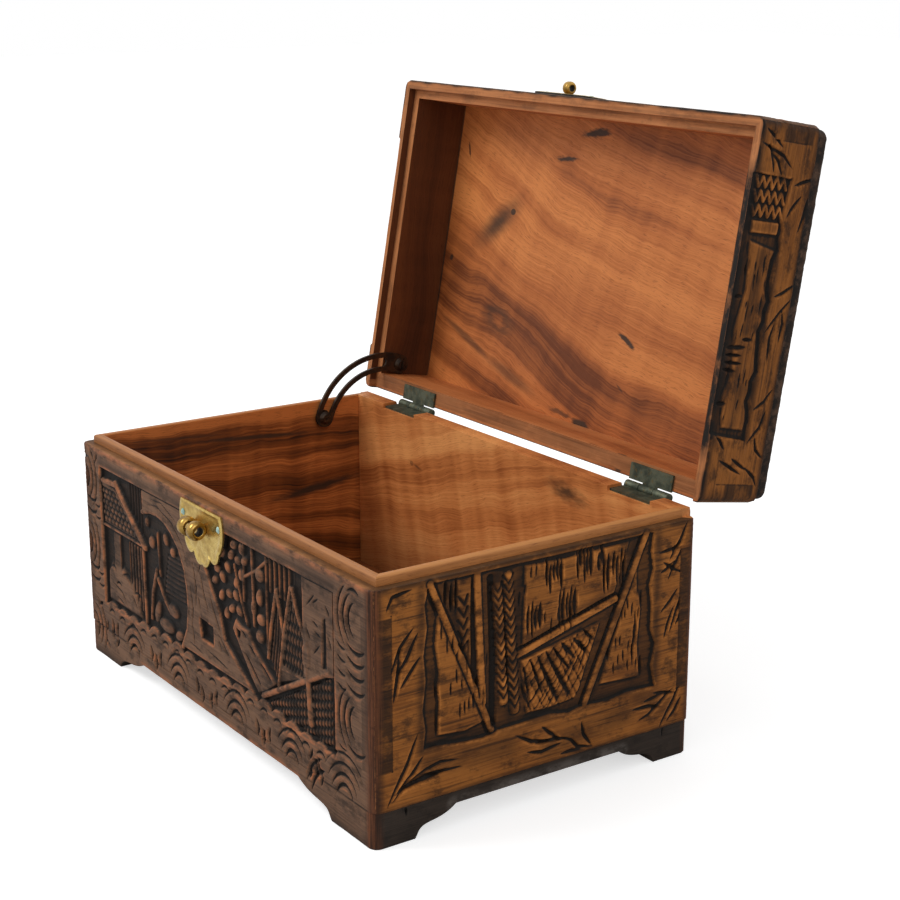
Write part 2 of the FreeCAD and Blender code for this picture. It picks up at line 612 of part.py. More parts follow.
def build():
    """Return every node's name and shape."""
    nodes = {}
    up = Vector(0, 0, 1)
    into_front = Vector(0, 1, 0)
    box_names = ("front_board", "back_board", "left_end_board", "right_end_board")
    boards = split_frame(box_frame(), PLINTH_HEIGHT, BOX_FINGER_FOOT, BOX_FINGER_HEAD, LIP_TOP)
    box = dict(zip(box_names, boards))
    lid_names = ("lid_front_rail", "lid_back_rail", "lid_left_rail", "lid_right_rail")
    rails = split_frame(lid_frame(), LID_RIM, LID_FINGER_FOOT, LID_FINGER_HEAD, RAIL_TOP)
    lid = dict(zip(lid_names, rails))
    lid["lid_top_board"] = lid_top_board()
    nodes.update(zip(("plinth_front", "plinth_back", "plinth_left", "plinth_right"), plinth_boards()))
    nodes["bottom_board"] = bottom_board()

    for name, x in (("left_hinge", HINGE_LEFT_X), ("right_hinge", HINGE_RIGHT_X)):
        box["back_board"] = box["back_board"].cut(mortise(x))
        box_leaf = hinge_leaf(x, MORTISE_FLOOR, (0, 2))
        lid_leaf = hinge_leaf(x, LID_BACK_RIM - LEAF_THICKNESS, (1,))
        box_nails = []
        for seat in hinge_nail_seats(x, MORTISE_FLOOR + LEAF_THICKNESS):
            hole = flush_nail(seat, -up, NAIL_FIT)
            box_nails.append(flush_nail(seat, -up))
            box_leaf = box_leaf.cut(hole)
            box["back_board"] = box["back_board"].cut(hole)
        lid_nails = []
        for seat in hinge_nail_seats(x, LID_BACK_RIM - LEAF_THICKNESS):
            hole = flush_nail(seat, up, NAIL_FIT)
            lid_nails.append(flush_nail(seat, up))
            lid_leaf = lid_leaf.cut(hole)
            lid["lid_back_rail"] = lid["lid_back_rail"].cut(hole)
        nodes[name + "_box_leaf"] = box_leaf
        nodes[name + "_box_nails"] = Part.makeCompound(box_nails)
        nodes[name + "_pin"] = rod(PIN_RADIUS, Vector(x - HINGE_WIDTH / 2, HINGE_Y, HINGE_Z), X_AXIS, HINGE_WIDTH)
        lid[name + "_lid_leaf"] = lid_leaf
        lid[name + "_lid_nails"] = Part.makeCompound(lid_nails)

    pivot_y = HALF_D - STAY_PIVOT_FROM_BACK
    pivot_z = LEDGE_HEIGHT + STAY_PIVOT_ABOVE_LEDGE
    closed_pivot = Vector(STAY_X, pivot_y, pivot_z)
    screw = Vector(STAY_X, HALF_D - STAY_SCREW_FROM_BACK, LEDGE_HEIGHT - STAY_SCREW_BELOW_LEDGE)
    box["left_end_board"] = box["left_end_board"].cut(screw_hole(screw))
    lid["lid_left_rail"] = lid["lid_left_rail"].cut(screw_hole(closed_pivot))
    nodes["stay_arm"] = stay_arm(turned_open(pivot_y, pivot_z), screw)
    nodes["stay_box_screw"] = stay_screw(screw)
    nodes["stay_box_washer"] = washer(screw)
    lid["stay_lid_screw"] = stay_screw(closed_pivot)
    lid["stay_lid_washer"] = washer(closed_pivot)

    box_plate_z = LEDGE_HEIGHT - PLATE_RIM_MARGIN
    lid_plate_z = LID_RIM + PLATE_RIM_MARGIN
    plate = clasp_plate(box_plate_z, -1)
    for name, sign in (("left", -1), ("right", 1)):
        eye_x = CLASP_X + sign * EYE_SPACING / 2
        hole = eye_hole(eye_x, BOX_EYE_Z, EYE_RADIUS)
        nodes["clasp_" + name + "_eye"] = clasp_eye(eye_x, BOX_EYE_Z, EYE_RADIUS, EYE_WIDTH, EYE_CHAMFER,
                                                    EYE_HOLE_RADIUS)
        plate = plate.cut(hole)
        box["front_board"] = box["front_board"].cut(hole)
    hole = eye_hole(CLASP_X, LID_EYE_Z, LID_EYE_RADIUS)
    lid["clasp_lid_eye"] = clasp_eye(CLASP_X, LID_EYE_Z, LID_EYE_RADIUS, LID_EYE_WIDTH, LID_EYE_CHAMFER,
                                     LID_EYE_HOLE_RADIUS)
    lid_plate = clasp_plate(lid_plate_z, 1).cut(hole)
    lid["lid_front_rail"] = lid["lid_front_rail"].cut(hole)
    box_nails = []
    for seat in clasp_nail_seats(box_plate_z, -1):
        box_nails.append(nail(seat, into_front))
        plate = plate.cut(nail_shank(seat, into_front, NAIL_FIT))
        box["front_board"] = box["front_board"].cut(nail_shank(seat, into_front, NAIL_FIT))
    lid_nails = []
    for seat in clasp_nail_seats(lid_plate_z, 1):
        lid_nails.append(nail(seat, into_front))
        lid_plate = lid_plate.cut(nail_shank(seat, into_front, NAIL_FIT))
        lid["lid_front_rail"] = lid["lid_front_rail"].cut(nail_shank(seat, into_front, NAIL_FIT))
    nodes["clasp_box_plate"] = plate
    nodes["clasp_box_nails"] = Part.makeCompound(box_nails)
    lid["clasp_lid_plate"] = lid_plate
    lid["clasp_lid_nails"] = Part.makeCompound(lid_nails)

    nodes.update(box)
    nodes.update({name: opened(shape) for name, shape in lid.items()})
    return nodes


def middle_y():
    """Y half-way from the front of the clasp's eyes to the back of the open lid's rounded top edge."""
    eye_front = -HALF_D - PLATE_THICKNESS - 2 * EYE_RADIUS
    round_y = -HALF_D + TOP_INSET + TOP_ROUND
    round_z = LEDGE_HEIGHT + LID_HEIGHT - TOP_ROUND
    lid_back = turned_open(round_y, round_z).y + TOP_ROUND
    return (eye_front + lid_back) / 2


os.makedirs("parts", exist_ok=True)
to_origin = Vector(0, -middle_y(), 0)
for node_name, node_shape in build().items():
    node_shape.translate(to_origin)
    node_shape.exportStep("parts/" + node_name + ".step")
    print(node_name, len(node_shape.Solids), node_shape.isValid(), round(node_shape.Volume, 1))
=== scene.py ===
"""Looks of a carved wooden jewelry box: relief-carved boards, oiled inside, worn brass fittings.

Boards are lofted in millimetres about the centre of the footprint, with the lid closed. The lid's
boards are then turned open about the hinge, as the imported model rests.
"""
import json
import logging
import math
from dataclasses import dataclass
from enum import Enum
from functools import lru_cache
from typing import Callable, Dict, List, Optional, Sequence, Tuple, Union

import bpy
import numpy as np
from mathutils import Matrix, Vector


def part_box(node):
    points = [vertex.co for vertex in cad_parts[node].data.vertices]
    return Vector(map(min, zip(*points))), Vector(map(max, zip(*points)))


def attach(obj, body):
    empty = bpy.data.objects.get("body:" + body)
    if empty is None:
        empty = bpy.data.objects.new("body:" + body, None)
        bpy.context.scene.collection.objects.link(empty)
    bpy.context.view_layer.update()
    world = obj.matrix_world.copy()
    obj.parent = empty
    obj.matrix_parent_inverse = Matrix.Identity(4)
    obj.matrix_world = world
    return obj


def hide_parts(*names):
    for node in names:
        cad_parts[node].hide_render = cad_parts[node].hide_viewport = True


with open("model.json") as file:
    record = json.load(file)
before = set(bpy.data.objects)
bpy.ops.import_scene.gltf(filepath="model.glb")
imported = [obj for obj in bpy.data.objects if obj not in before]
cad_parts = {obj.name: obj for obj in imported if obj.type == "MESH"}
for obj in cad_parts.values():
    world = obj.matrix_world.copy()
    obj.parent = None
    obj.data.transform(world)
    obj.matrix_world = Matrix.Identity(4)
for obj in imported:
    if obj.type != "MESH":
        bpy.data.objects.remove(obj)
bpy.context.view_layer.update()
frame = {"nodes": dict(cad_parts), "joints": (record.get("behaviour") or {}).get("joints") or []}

Array = np.ndarray
Object = bpy.types.Object
Socket = bpy.types.NodeSocket
Point = Tuple[float, float]
Place = Tuple[float, float, float]
Colour = Tuple[float, float, float]
Number = Union[float, Socket]
Tint = Union[Colour, Socket]
Path = Sequence[Point]
Edge = Callable[[Array, Array], Array]
LOG = logging.getLogger("jewelry_box")
MM = 0.001
SEED = 41


class Body(Enum):
    """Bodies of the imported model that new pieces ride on."""

    BOX = "box"
    LID = "lid"


class Side(Enum):
    """Which way a board faces: its direction along, seen from outside, and its direction inward."""

    FRONT = ((1, 0, 0), (0, 1, 0))
    BACK = ((-1, 0, 0), (0, -1, 0))
    RIGHT = ((0, 1, 0), (-1, 0, 0))
    LEFT = ((0, -1, 0), (1, 0, 0))


class Grain(Enum):
    """Where a wood finish finds its grain: along each lofted board, or in the object's own axes."""

    BOARD = "board"
    OBJECT = "object"


@dataclass(frozen=True)
class BoxSizes:
    """Sizes in millimetres about the footprint's centre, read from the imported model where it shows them."""

    half_w: float
    half_d: float
    centre_y: float
    plinth_top: float
    lip_top: float
    lid_top: float
    hinge_y: float
    hinge_z: float
    open_deg: float
    wall: float = 10.0
    corner: float = 5.0
    lip_height: float = 4.4
    ledge: float = 5.4
    lip_round: float = 1.5
    rim_gap: float = 0.4
    top_inset: float = 1.5
    top_round: float = 3.0
    top_thickness: float = 8.0

    @property
    def ledge_z(self) -> float:
        """Height of the ledge round the lip."""
        return self.lip_top - self.lip_height

    @property
    def lid_rim(self) -> float:
        """Lower edge of the closed lid."""
        return self.ledge_z + self.rim_gap

    @property
    def lid_back_rim(self) -> float:
        """Lower edge of the closed lid inside its rebate and along its back."""
        return self.lip_top + self.rim_gap

    @property
    def rail_top(self) -> float:
        """Upper edge of the lid's rails, under the top board."""
        return self.lid_top - self.top_thickness

    def reach(self, side: Side, inset_x: float) -> Point:
        """Half a wall's length, and how far its face stands from the middle, with the ends set in."""
        half_x = self.half_w - inset_x
        return (half_x, self.half_d) if side in (Side.FRONT, Side.BACK) else (self.half_d, half_x)

    def place(self, points: Array, lid: bool) -> Array:
        """Turn bench points into the row's frame.

        Args:
            points: Points in millimetres about the footprint's centre, with the lid closed.
            lid: True if the points belong to the lid, which is turned open.

        Returns:
            Points in metres in the row's frame.
        """
        out = np.array(points, float)
        if lid:
            turn = math.radians(self.open_deg)
            y = out[:, 1] - self.hinge_y
            z = out[:, 2] - self.hinge_z
            out[:, 1] = self.hinge_y + math.cos(turn) * y + math.sin(turn) * z
            out[:, 2] = self.hinge_z - math.sin(turn) * y + math.cos(turn) * z
        out *= MM
        out[:, 1] += self.centre_y
        return out


def read_sizes() -> BoxSizes:
    """Read the box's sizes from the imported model.

    Returns:
        The sizes, in millimetres.
    """
    front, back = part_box("front_board"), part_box("back_board")
    centre_y = (front[0].y + back[1].y) / 2
    half_d = (back[1].y - front[0].y) / 2 / MM
    hinge = next(j for j in frame["joints"] if j["name"] == "lid_hinge")
    open_deg = hinge["range_deg"][1]
    turn = math.radians(open_deg)
    hinge_y = (hinge["pos_m"][1] - centre_y) / MM
    hinge_z = hinge["pos_m"][2] / MM
    rounding = BoxSizes.top_round
    back_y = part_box("lid_top_board")[1].y / MM - centre_y / MM - rounding - hinge_y
    round_y = -half_d + BoxSizes.top_inset + rounding - hinge_y
    lid_top = (back_y - math.cos(turn) * round_y) / math.sin(turn) + hinge_z + rounding
    return BoxSizes(
        half_w=front[1].x / MM, half_d=half_d, centre_y=centre_y, plinth_top=front[0].z / MM,
        lip_top=front[1].z / MM, lid_top=lid_top, hinge_y=hinge_y, hinge_z=hinge_z, open_deg=open_deg,
    )


S = read_sizes()


def rect(u0: float, u1: float, v0: float, v1: float) -> List[Point]:
    """Corners of an upright rectangle."""
    return [(u0, v0), (u1, v0), (u1, v1), (u0, v1)]


def ease(share: Array) -> Array:
    """Let a slope from 0 to 1 start and end smoothly."""
    return share * share * (3 - 2 * share)


class Relief:
    """Height map of one carved face in millimetres: 0 is the uncut surface, below it is carved away."""

    STEP = 0.3
    TOOL_MARK = (9.0, 1.6)

    def __init__(self, u0: float, u1: float, v0: float, v1: float) -> None:
        """Start with an uncut face.

        Args:
            u0: Left edge.
            u1: Right edge.
            v0: Lower edge.
            v1: Upper edge.
        """
        self.u0, self.v0 = u0, v0
        self.us = np.arange(u0, u1 + self.STEP, self.STEP)
        self.vs = np.arange(v0, v1 + self.STEP, self.STEP)
        self.h = np.zeros((len(self.us), len(self.vs)))
        self.soot = np.zeros_like(self.h)
        self.wear = np.zeros_like(self.h)
        self.rng = np.random.default_rng(SEED)
        self.origin: Point = (0.0, 0.0)
        self.scale = 1.0
        self.flip = 1

    def set_out(self, origin: Point = (0.0, 0.0), scale: float = 1.0, flip: int = 1) -> None:
        """Say where the next motifs' zero point lies, their size, and with flip -1 that they are mirrored."""
        self.origin, self.scale, self.flip = origin, scale, flip

    def at(self, points: Path) -> List[Point]:
        """Places of a motif's points on this face."""
        (u0, v0), size = self.origin, self.scale
        return [(u0 + self.flip * size * u, v0 + size * v) for u, v in points]

    def window(self, points: Path, margin: float = 0.5) -> Tuple[Tuple[slice, slice], Array, Array]:
        """Find the part of the map round some points.

        Args:
            points: Points that the part holds.
            margin: Room round them.

        Returns:
            Slices of the map, and the u and v of its cells.
        """
        pts = np.asarray(points, float)
        low = np.floor((pts.min(0) - margin - (self.u0, self.v0)) / self.STEP).astype(int)
        high = np.ceil((pts.max(0) + margin - (self.u0, self.v0)) / self.STEP).astype(int) + 1
        low = np.clip(low, 0, None)
        cells = (slice(low[0], max(low[0], high[0])), slice(low[1], max(low[1], high[1])))
        u, v = np.meshgrid(self.us[cells[0]], self.vs[cells[1]], indexing="ij")
        return cells, u, v

    @staticmethod
    def along(points: Path, u: Array, v: Array) -> Tuple[Array, Array]:
        """Measure cells against a path.

        Args:
            points: Corners of the path.
            u: Cells' u.
            v: Cells' v.

        Returns:
            Each cell's distance from the path, and how far along it the nearest place is, from 0 to 1.
        """
        pts = np.asarray(points, float)
        lengths = np.hypot(*(pts[1:] - pts[:-1]).T)
        total = max(lengths.sum(), 1e-9)
        best = np.full(u.shape, 1e9)
        share = np.zeros(u.shape)
        run = 0.0
        for (a, b), length in zip(zip(pts[:-1], pts[1:]), lengths):
            d = (b - a) / max(length, 1e-9)
            t = np.clip((u - a[0]) * d[0] + (v - a[1]) * d[1], 0, length)
            gap = np.hypot(u - a[0] - t * d[0], v - a[1] - t * d[1])
            nearer = gap < best
            best = np.where(nearer, gap, best)
            share = np.where(nearer, (run + t) / total, share)
            run += length
        return best, share

    @staticmethod
    def inside(points: Path, u: Array, v: Array) -> Array:
        """Tell which cells lie inside a closed outline.

        Args:
            points: Corners of the outline.
            u: Cells' u.
            v: Cells' v.

        Returns:
            True where a cell is inside.
        """
        hit = np.zeros(u.shape, bool)
        for (x0, y0), (x1, y1) in zip(points, list(points[1:]) + [points[0]]):
            if y0 != y1:
                cross = x0 + (v - y0) * (x1 - x0) / (y1 - y0)
                hit ^= ((y0 > v) != (y1 > v)) & (u < cross)
        return hit

    def plate(self, points: Path, level: float, bevel: float = 0.7) -> None:
        """Bring the inside of an outline to a level, with a sloping edge.

        Args:
            points: Corners of the outline.
            level: Height of the plate.
            bevel: Width of the slope inside the edge.
        """
        points = self.at(points)
        cells, u, v = self.window(points)
        gap, _ = self.along(points + points[:1], u, v)
        share = np.clip(gap / bevel, 0, 1) * self.inside(points, u, v)
        self.h[cells] += (level - self.h[cells]) * ease(share)

    def axes(self, u: Array, v: Array, turn: float) -> Tuple[Array, Array]:
        """Places along and across a direction in degrees, which is mirrored with the motifs."""
        c, s = (f(math.radians(turn * self.flip)) for f in (math.cos, math.sin))
        return u * c + v * s, v * c - u * s

    def dome(self, centre: Point, radii: Point, level: float, crown: float, turn: float = 0.0) -> None:
        """Raise a rounded bud.

        Args:
            centre: Middle of the bud.
            radii: Half sizes along and across.
            level: Height at the bud's rim.
            crown: Height of its middle above the rim.
            turn: Degrees that the bud is turned by.
        """
        centre = self.at([centre])[0]
        radii = (radii[0] * self.scale, radii[1] * self.scale)
        cells, u, v = self.window([centre], max(radii))
        a, b = self.axes(u - centre[0], v - centre[1], turn)
        r2 = (a / radii[0]) ** 2 + (b / radii[1]) ** 2
        height = level + crown * np.sqrt(np.clip(1 - r2, 0, 1))
        self.h[cells] = np.where(r2 < 1, np.maximum(self.h[cells], height), self.h[cells])

    def bead(self, points: Path, width: float, level: float, fall: float = 0.8, tip: float = 1.0) -> None:
        """Raise a rounded bar along a path.

        Args:
            points: Corners of the path.
            width: Width of the bar.
            level: Height of its crown.
            fall: How far its edges drop below the crown.
            tip: Width at the path's end, as a share of the width at its start.
        """
        points = self.at(points)
        width *= self.scale
        cells, u, v = self.window(points, width)
        gap, share = self.along(points, u, v)
        half = width / 2 * (1 + (tip - 1) * share)
        x = gap / half
        self.h[cells] = np.where(x < 1, np.maximum(self.h[cells], level - fall * x * x), self.h[cells])

    def cut(self, points: Path, width: float, depth: float, lens: bool = True) -> None:
        """Cut a gouge along a path, as deep in its middle as it is wide there.

        Args:
            points: Corners of the path.
            width: Widest part of the gouge.
            depth: Deepest part of the gouge.
            lens: True if both ends run out to a point.
        """
        points = self.at(points)
        width *= self.scale
        cells, u, v = self.window(points, width)
        gap, share = self.along(points, u, v)
        run = np.sin(np.pi * np.clip(share, 0.02, 0.98)) ** 0.6 if lens else np.ones_like(share)
        x = gap / (width / 2 * run)
        self.h[cells] -= depth * run * np.clip(1 - x * x, 0, 1)

    def arc(self, centre: Point, radius: float, start: float, end: float, width: float, depth: float,
            squash: float = 1.0) -> None:
        """Cut a crescent gouge between two angles in degrees; squash is its height as a share of width."""
        (u, v), turns = centre, np.radians(np.linspace(start, end, 9))
        arc = [(u + radius * math.cos(t), v + squash * radius * math.sin(t)) for t in turns]
        self.cut(arc, width, depth)

    def hatch(self, points: Path, turn: float, pitch: float, depth: float, ripple: float = 0.0,
              sharp: float = 2.0) -> None:
        """Cut close parallel lines inside an outline.

        Args:
            points: Corners of the outline.
            turn: Direction of the lines in degrees.
            pitch: Distance between lines.
            depth: Depth of the lines.
            ripple: How far the lines wander.
            sharp: How narrow the lines are.
        """
        points = self.at(points)
        cells, u, v = self.window(points)
        along, across = self.axes(u, v, turn)
        across += ripple * np.sin(along / (2.3 * pitch))
        wave = 0.5 + 0.5 * np.cos(2 * np.pi * across / pitch)
        self.h[cells] -= depth * wave ** sharp * self.inside(points, u, v)

    def scales(self, points: Path, pitch: Point, depth: float, turn: float = 0.0) -> None:
        """Cut staggered pointed scales inside an outline, as tiles or a net.

        Args:
            points: Corners of the outline.
            pitch: Width and height of a scale.
            depth: Depth between scales.
            turn: Degrees that the rows are turned by.
        """
        points = self.at(points)
        cells, u, v = self.window(points)
        along, across = self.axes(u, v, turn)
        a, b = along / pitch[0], across / pitch[1]
        x = np.abs((a + 0.5 * np.floor(b)) % 1 - 0.5) * 2
        y = np.abs(b % 1 - 0.5) * 2
        leaf = np.clip(1 - x ** 2 - y ** 2, 0, 1)
        self.h[cells] -= depth * (1 - leaf ** 0.7) * self.inside(points, u, v)

    def smear(self, points: Path, width: float, amount: float, wear: bool = False) -> None:
        """Rub dark stain into the face along a path, or wear the stain away there, fading to both sides.

        Args:
            points: Corners of the path.
            width: How far to each side it reaches.
            amount: How strong it is along the path, from 0 to 1.
            wear: True if the stain is worn away.
        """
        cells, u, v = self.window(points, width)
        gap, _ = self.along(points, u, v)
        share = np.clip(1 - gap / width, 0, 1)
        layer = self.wear if wear else self.soot
        layer[cells] = np.maximum(layer[cells], amount * ease(share))

    def patch(self, points: Path, amount: float) -> None:
        """Stain the inside of an outline dark."""
        cells, u, v = self.window(points)
        self.soot[cells] = np.maximum(self.soot[cells], amount * self.inside(points, u, v))

    def leaves(self, strokes: Sequence[Path], reach: Point, width: float, depth: float) -> None:
        """Gouge bamboo leaves, each a stroke that runs on past its ends.

        Args:
            strokes: Corners of each stroke.
            reach: How far it runs on before its start and past its end, as shares of its end runs.
            width: Widest part of a leaf.
            depth: Deepest part of a leaf.
        """
        before, past = reach
        for path in strokes:
            (a, b), (y, z) = np.array(path[:2]), np.array(path[-2:])
            start, end = (1 + before) * a - before * b, (1 + past) * z - past * y
            self.cut([tuple(start), *path[1:-1], tuple(end)], width, depth)

    def weather(self, amount: float) -> None:
        """Leave the slight waviness of a plane and a flat chisel, and blunt the sharpest edges.

        Args:
            amount: Height of the waviness.
        """
        noise = self.rng.standard_normal(self.h.shape)
        noise = blur(noise, *(int(length / self.STEP / 2) for length in self.TOOL_MARK))
        self.h += amount * noise / max(noise.std(), 1e-9)
        self.h = blur(self.h, 1) * 0.5 + self.h * 0.5

    def edges(self) -> Array:
        """How far each place stands above its surroundings: raised places wear the stain away, hollows take
        painted shade.
        """
        reaches = ((14, 0.2), (5, 0.5), (2, 0.5))
        return self.wear + sum(weight * (self.h - blur(self.h, reach)) for reach, weight in reaches)

    def read(self, values: Array, u: Array, v: Array) -> Array:
        """Read a map between its cells.

        Args:
            values: Map to read.
            u: Places along the face.
            v: Places up the face.

        Returns:
            The map's values there.
        """
        x = np.clip((u - self.u0) / self.STEP, 0, len(self.us) - 1.001)
        y = np.clip((v - self.v0) / self.STEP, 0, len(self.vs) - 1.001)
        i, j = x.astype(int), y.astype(int)
        a, b = x - i, y - j
        return ((values[i, j] * (1 - a) + values[i + 1, j] * a) * (1 - b)
                + (values[i, j + 1] * (1 - a) + values[i + 1, j + 1] * a) * b)


def blur(values: Array, reach: int, reach_v: Optional[int] = None) -> Array:
    """Average a map over a small rectangle.

    Args:
        values: Map to average.
        reach: Cells to each side along u.
        reach_v: Cells to each side along v, or None for the same.

    Returns:
        The averaged map.
    """
    out = values
    for r in (reach, reach if reach_v is None else reach_v):
        r = max(1, r)
        n = 2 * r + 1
        total = np.cumsum(np.pad(out, ((r + 1, r), (0, 0)), mode="edge"), axis=0)
        out = ((total[n:] - total[:-n]) / n).T
    return out


@dataclass
class Board:
    """One board: a carved or planed outer face, mitred ends with a rounded corner, and its own rims."""

    name: str
    side: Side
    thickness: float
    lower: Edge
    upper: Edge
    lower_stops: Sequence[float]
    upper_stops: Sequence[float]
    step: Point
    relief: Optional[Relief] = None
    lid: bool = False
    breaks: Sequence[float] = ()
    inset_x: float = 0.0
    stained_rim: int = 0
    lower_rim: Optional[Point] = None

    NEAR = 0.02
    THINNEST = 0.004
    CORNER_STEPS = 12
    EDGE_ROUND = 0.5
    LEDGE_SOOT = 0.5
    STAIN_FADE = 9.0
    POST_FADE = 4.0

    def __post_init__(self) -> None:
        """Work out half the board's length and where its face stands."""
        self.half_length, self.face_at = S.reach(self.side, self.inset_x)

    @property
    def post(self) -> float:
        """Width of the end grain that shows at the box's corners, widest on the front."""
        return 0.0 if self.lid else 8.0 if self.side is Side.FRONT else 6.0

    def stations(self) -> Array:
        """Places along the board where its section is drawn.

        Returns:
            The places, from left to right.
        """
        half = self.half_length
        end = half - S.corner * (1 - math.sqrt(0.5)) - self.NEAR
        us = list(np.linspace(-end, end, max(2, int(2 * end / self.step[0]))))
        steps = [sign * (half - s) for s in (S.ledge, self.thickness) for sign in (-1, 1)]
        for place in [*self.breaks, *steps]:
            us += [place - self.NEAR, place + self.NEAR]
        for s in np.linspace(0.0, S.corner, self.CORNER_STEPS)[1:]:
            us += [s - half, half - s]
        return np.unique(np.round([u for u in us if abs(u) <= end], 4))

    def build(self, finishes: Sequence["Finish"]) -> Object:
        """Loft the board and give its outside and inside their finishes.

        Args:
            finishes: Finish of the outer face, of the rest, and of a ledge or rim that has its own.

        Returns:
            The board's object, in the row's frame.
        """
        us = self.stations()
        s = self.half_length - np.abs(us)
        inner = np.minimum(self.thickness, s)
        low, high = (edge(us, np.zeros_like(us))[:, None] for edge in (self.lower, self.upper))
        rows = max(3, int((high.max() - low.min()) / self.step[1]))
        u = np.repeat(us[:, None], rows, 1)
        v = low + (high - low) * np.linspace(0, 1, rows)
        layers = np.zeros((3, *u.shape))
        if self.relief is not None:
            r = self.relief
            layers = [r.read(layer, u, v) for layer in (r.h, r.edges(), r.soot)]
        bend = np.clip(S.corner - s, 0, S.corner)
        arc = S.corner - np.sqrt(np.clip(S.corner ** 2 - bend ** 2, 0, None))
        x = np.clip(1 - np.minimum(v - low, high - v) / self.EDGE_ROUND, 0, 1)
        rounding = self.EDGE_ROUND * (1 - np.sqrt(np.clip(1 - x * x, 0, 1)))
        t = np.minimum(arc[:, None] - layers[0] + rounding, inner[:, None] - self.THINNEST)
        loops = [np.stack([t, v], -1)]
        rims = ((self.upper_stops, self.upper, t[:, -1]), (self.lower_stops[::-1], self.lower, t[:, 0]))
        for stops, edge, outer in rims:
            for stop in stops:
                at = np.minimum(stop, inner)
                loops.append(np.stack([np.maximum(at, outer), edge(us, at)], -1)[:, None])
        section = np.concatenate(loops, 1)
        depth, height = section[..., 0], section[..., 1]
        length = section.shape[1]
        along, inward = np.array(self.side.value, float)
        points = us[:, None, None] * along + (depth[..., None] - self.face_at) * inward
        points[..., 2] += height
        number = np.arange(depth.size).reshape(depth.shape)
        faces = weave(number).tolist() + [number[0].tolist(), number[-1, ::-1].tolist()]
        index = np.append(np.tile(self.finish_index(rows, length), len(us) - 1), [1, 1])
        piece = make_piece(self.name, points.reshape(-1, 3), faces, finishes, index, self.lid)
        rest = ((0, 0), (0, length - rows))
        carve, worn, soot = (np.pad(layer, rest) for layer in layers)
        self.stain_rims(us, rows, soot)
        if not self.lid:
            lip = rows + self.stained_rim
            worn[:, lip:] = ((height > height.max() - 0.5) & (depth < self.thickness - 0.4))[:, lip:]
        post = np.clip((self.post - s) / self.POST_FADE, 0, 1)
        post = np.pad(np.repeat(post[:, None], rows, 1), rest)
        grain = np.stack([np.repeat(us[:, None], length, 1), height, depth], -1)
        mark(piece, grain, carve=-carve, worn=worn, soot=soot, post=post)
        return piece

    def finish_index(self, rows: int, length: int) -> Array:
        """Which finish the faces round a section have.

        Args:
            rows: Points up the outer face.
            length: Points round the section.

        Returns:
            0 for the outer face, 1 for the rest, and 2 for a ledge or rim that has its own finish.
        """
        index = np.ones(length, int)
        index[:rows - 1] = 0
        index[rows - 1:rows - 1 + self.stained_rim] = 2
        if self.lower_rim:
            inner = rows + len(self.upper_stops)
            index[inner:] = 2
            # On the rebated rails this face is the rebate's upright wall; it takes the rest finish, so that
            # on the side rails the dark inside tone paints the shade in the rebate.
            index[inner + 1] = 1
        return index

    def stain_rims(self, us: Array, rows: int, soot: Array) -> None:
        """Darken the box's ledge, or the lid's rim with its chipped outer edge.

        Args:
            us: Places along the board.
            rows: Points up the outer face.
            soot: How dark each point is, changed in place.
        """
        soot[:, rows:rows + self.stained_rim] = self.LEDGE_SOOT
        if self.lower_rim:
            amount, reach = self.lower_rim
            share = np.clip((reach - np.abs(us)) / self.STAIN_FADE, 0, 1)
            soot[:, rows + len(self.upper_stops):] = amount * share[:, None]
            chips = 0.6 + 0.5 * np.sin(0.31 * us + 1.0) * np.sin(0.11 * us)
            soot[:, -1] = np.clip(chips + 0.9 * np.exp(-((us - 118) / 22) ** 2), 0.0, 1.0)
            soot[:, 0] = 1.0


def weave(lines: Array, closed: bool = True) -> Array:
    """Make four-cornered faces between neighbouring lines of points.

    Args:
        lines: Numbers of the points, one row for each line.
        closed: True if each line runs back to its start.

    Returns:
        Numbers of each face's points.
    """
    after = np.roll(lines, -1, 1)
    faces = np.stack([lines[:-1], lines[1:], after[1:], after[:-1]], -1)
    return (faces if closed else faces[:, :-1]).reshape(-1, 4)


def make_piece(name: str, points: Array, faces: List, finishes: Sequence["Finish"], index: Array, lid: bool,
               crease: float = 48.0) -> Object:
    """Make a piece from bench points.

    Args:
        name: Name of the piece.
        points: Its points in millimetres, with the lid closed.
        faces: Numbers of each face's points.
        finishes: Its finishes.
        index: Which finish each face has.
        lid: True if it is on the lid.
        crease: Degrees from which an edge stays sharp.

    Returns:
        The piece, in the row's frame.
    """
    mesh = bpy.data.meshes.new(name)
    mesh.from_pydata(S.place(points, lid).tolist(), [], faces)
    for finish in finishes:
        mesh.materials.append(finish.material())
    mesh.polygons.foreach_set("material_index", np.asarray(index, np.int32))
    mesh.shade_smooth()
    mesh.set_sharp_from_angle(angle=math.radians(crease))
    mesh.update()
    piece = bpy.data.objects.new(name, mesh)
    bpy.context.scene.collection.objects.link(piece)
    return piece


def mark(piece: Object, board: Array, **layers: Array) -> None:
    """Store on a piece what its finishes read.

    Args:
        piece: Piece to mark.
        board: Each point's place along, up and into its board, in millimetres.
        **layers: One number for each point, under the name that the finishes read.
    """
    grain = piece.data.attributes.new("board", "FLOAT_VECTOR", "POINT")
    grain.data.foreach_set("vector", (board * MM).astype(np.float32).ravel())
    for name, values in layers.items():
        layer = piece.data.attributes.new(name, "FLOAT", "POINT")
        layer.data.foreach_set("value", values.astype(np.float32).ravel())


def paint(colour: Tint) -> Tint:
    """Turn a colour written as on a screen into a socket's.

    Args:
        colour: Colour with parts from 0 to 255, or an output, which stays as it is.

    Returns:
        What a colour's socket takes.
    """
    if isinstance(colour, Socket):
        return colour
    parts = [c / 255 for c in colour]
    return (*(c / 12.92 if c <= 0.04045 else ((c + 0.055) / 1.055) ** 2.4 for c in parts), 1.0)


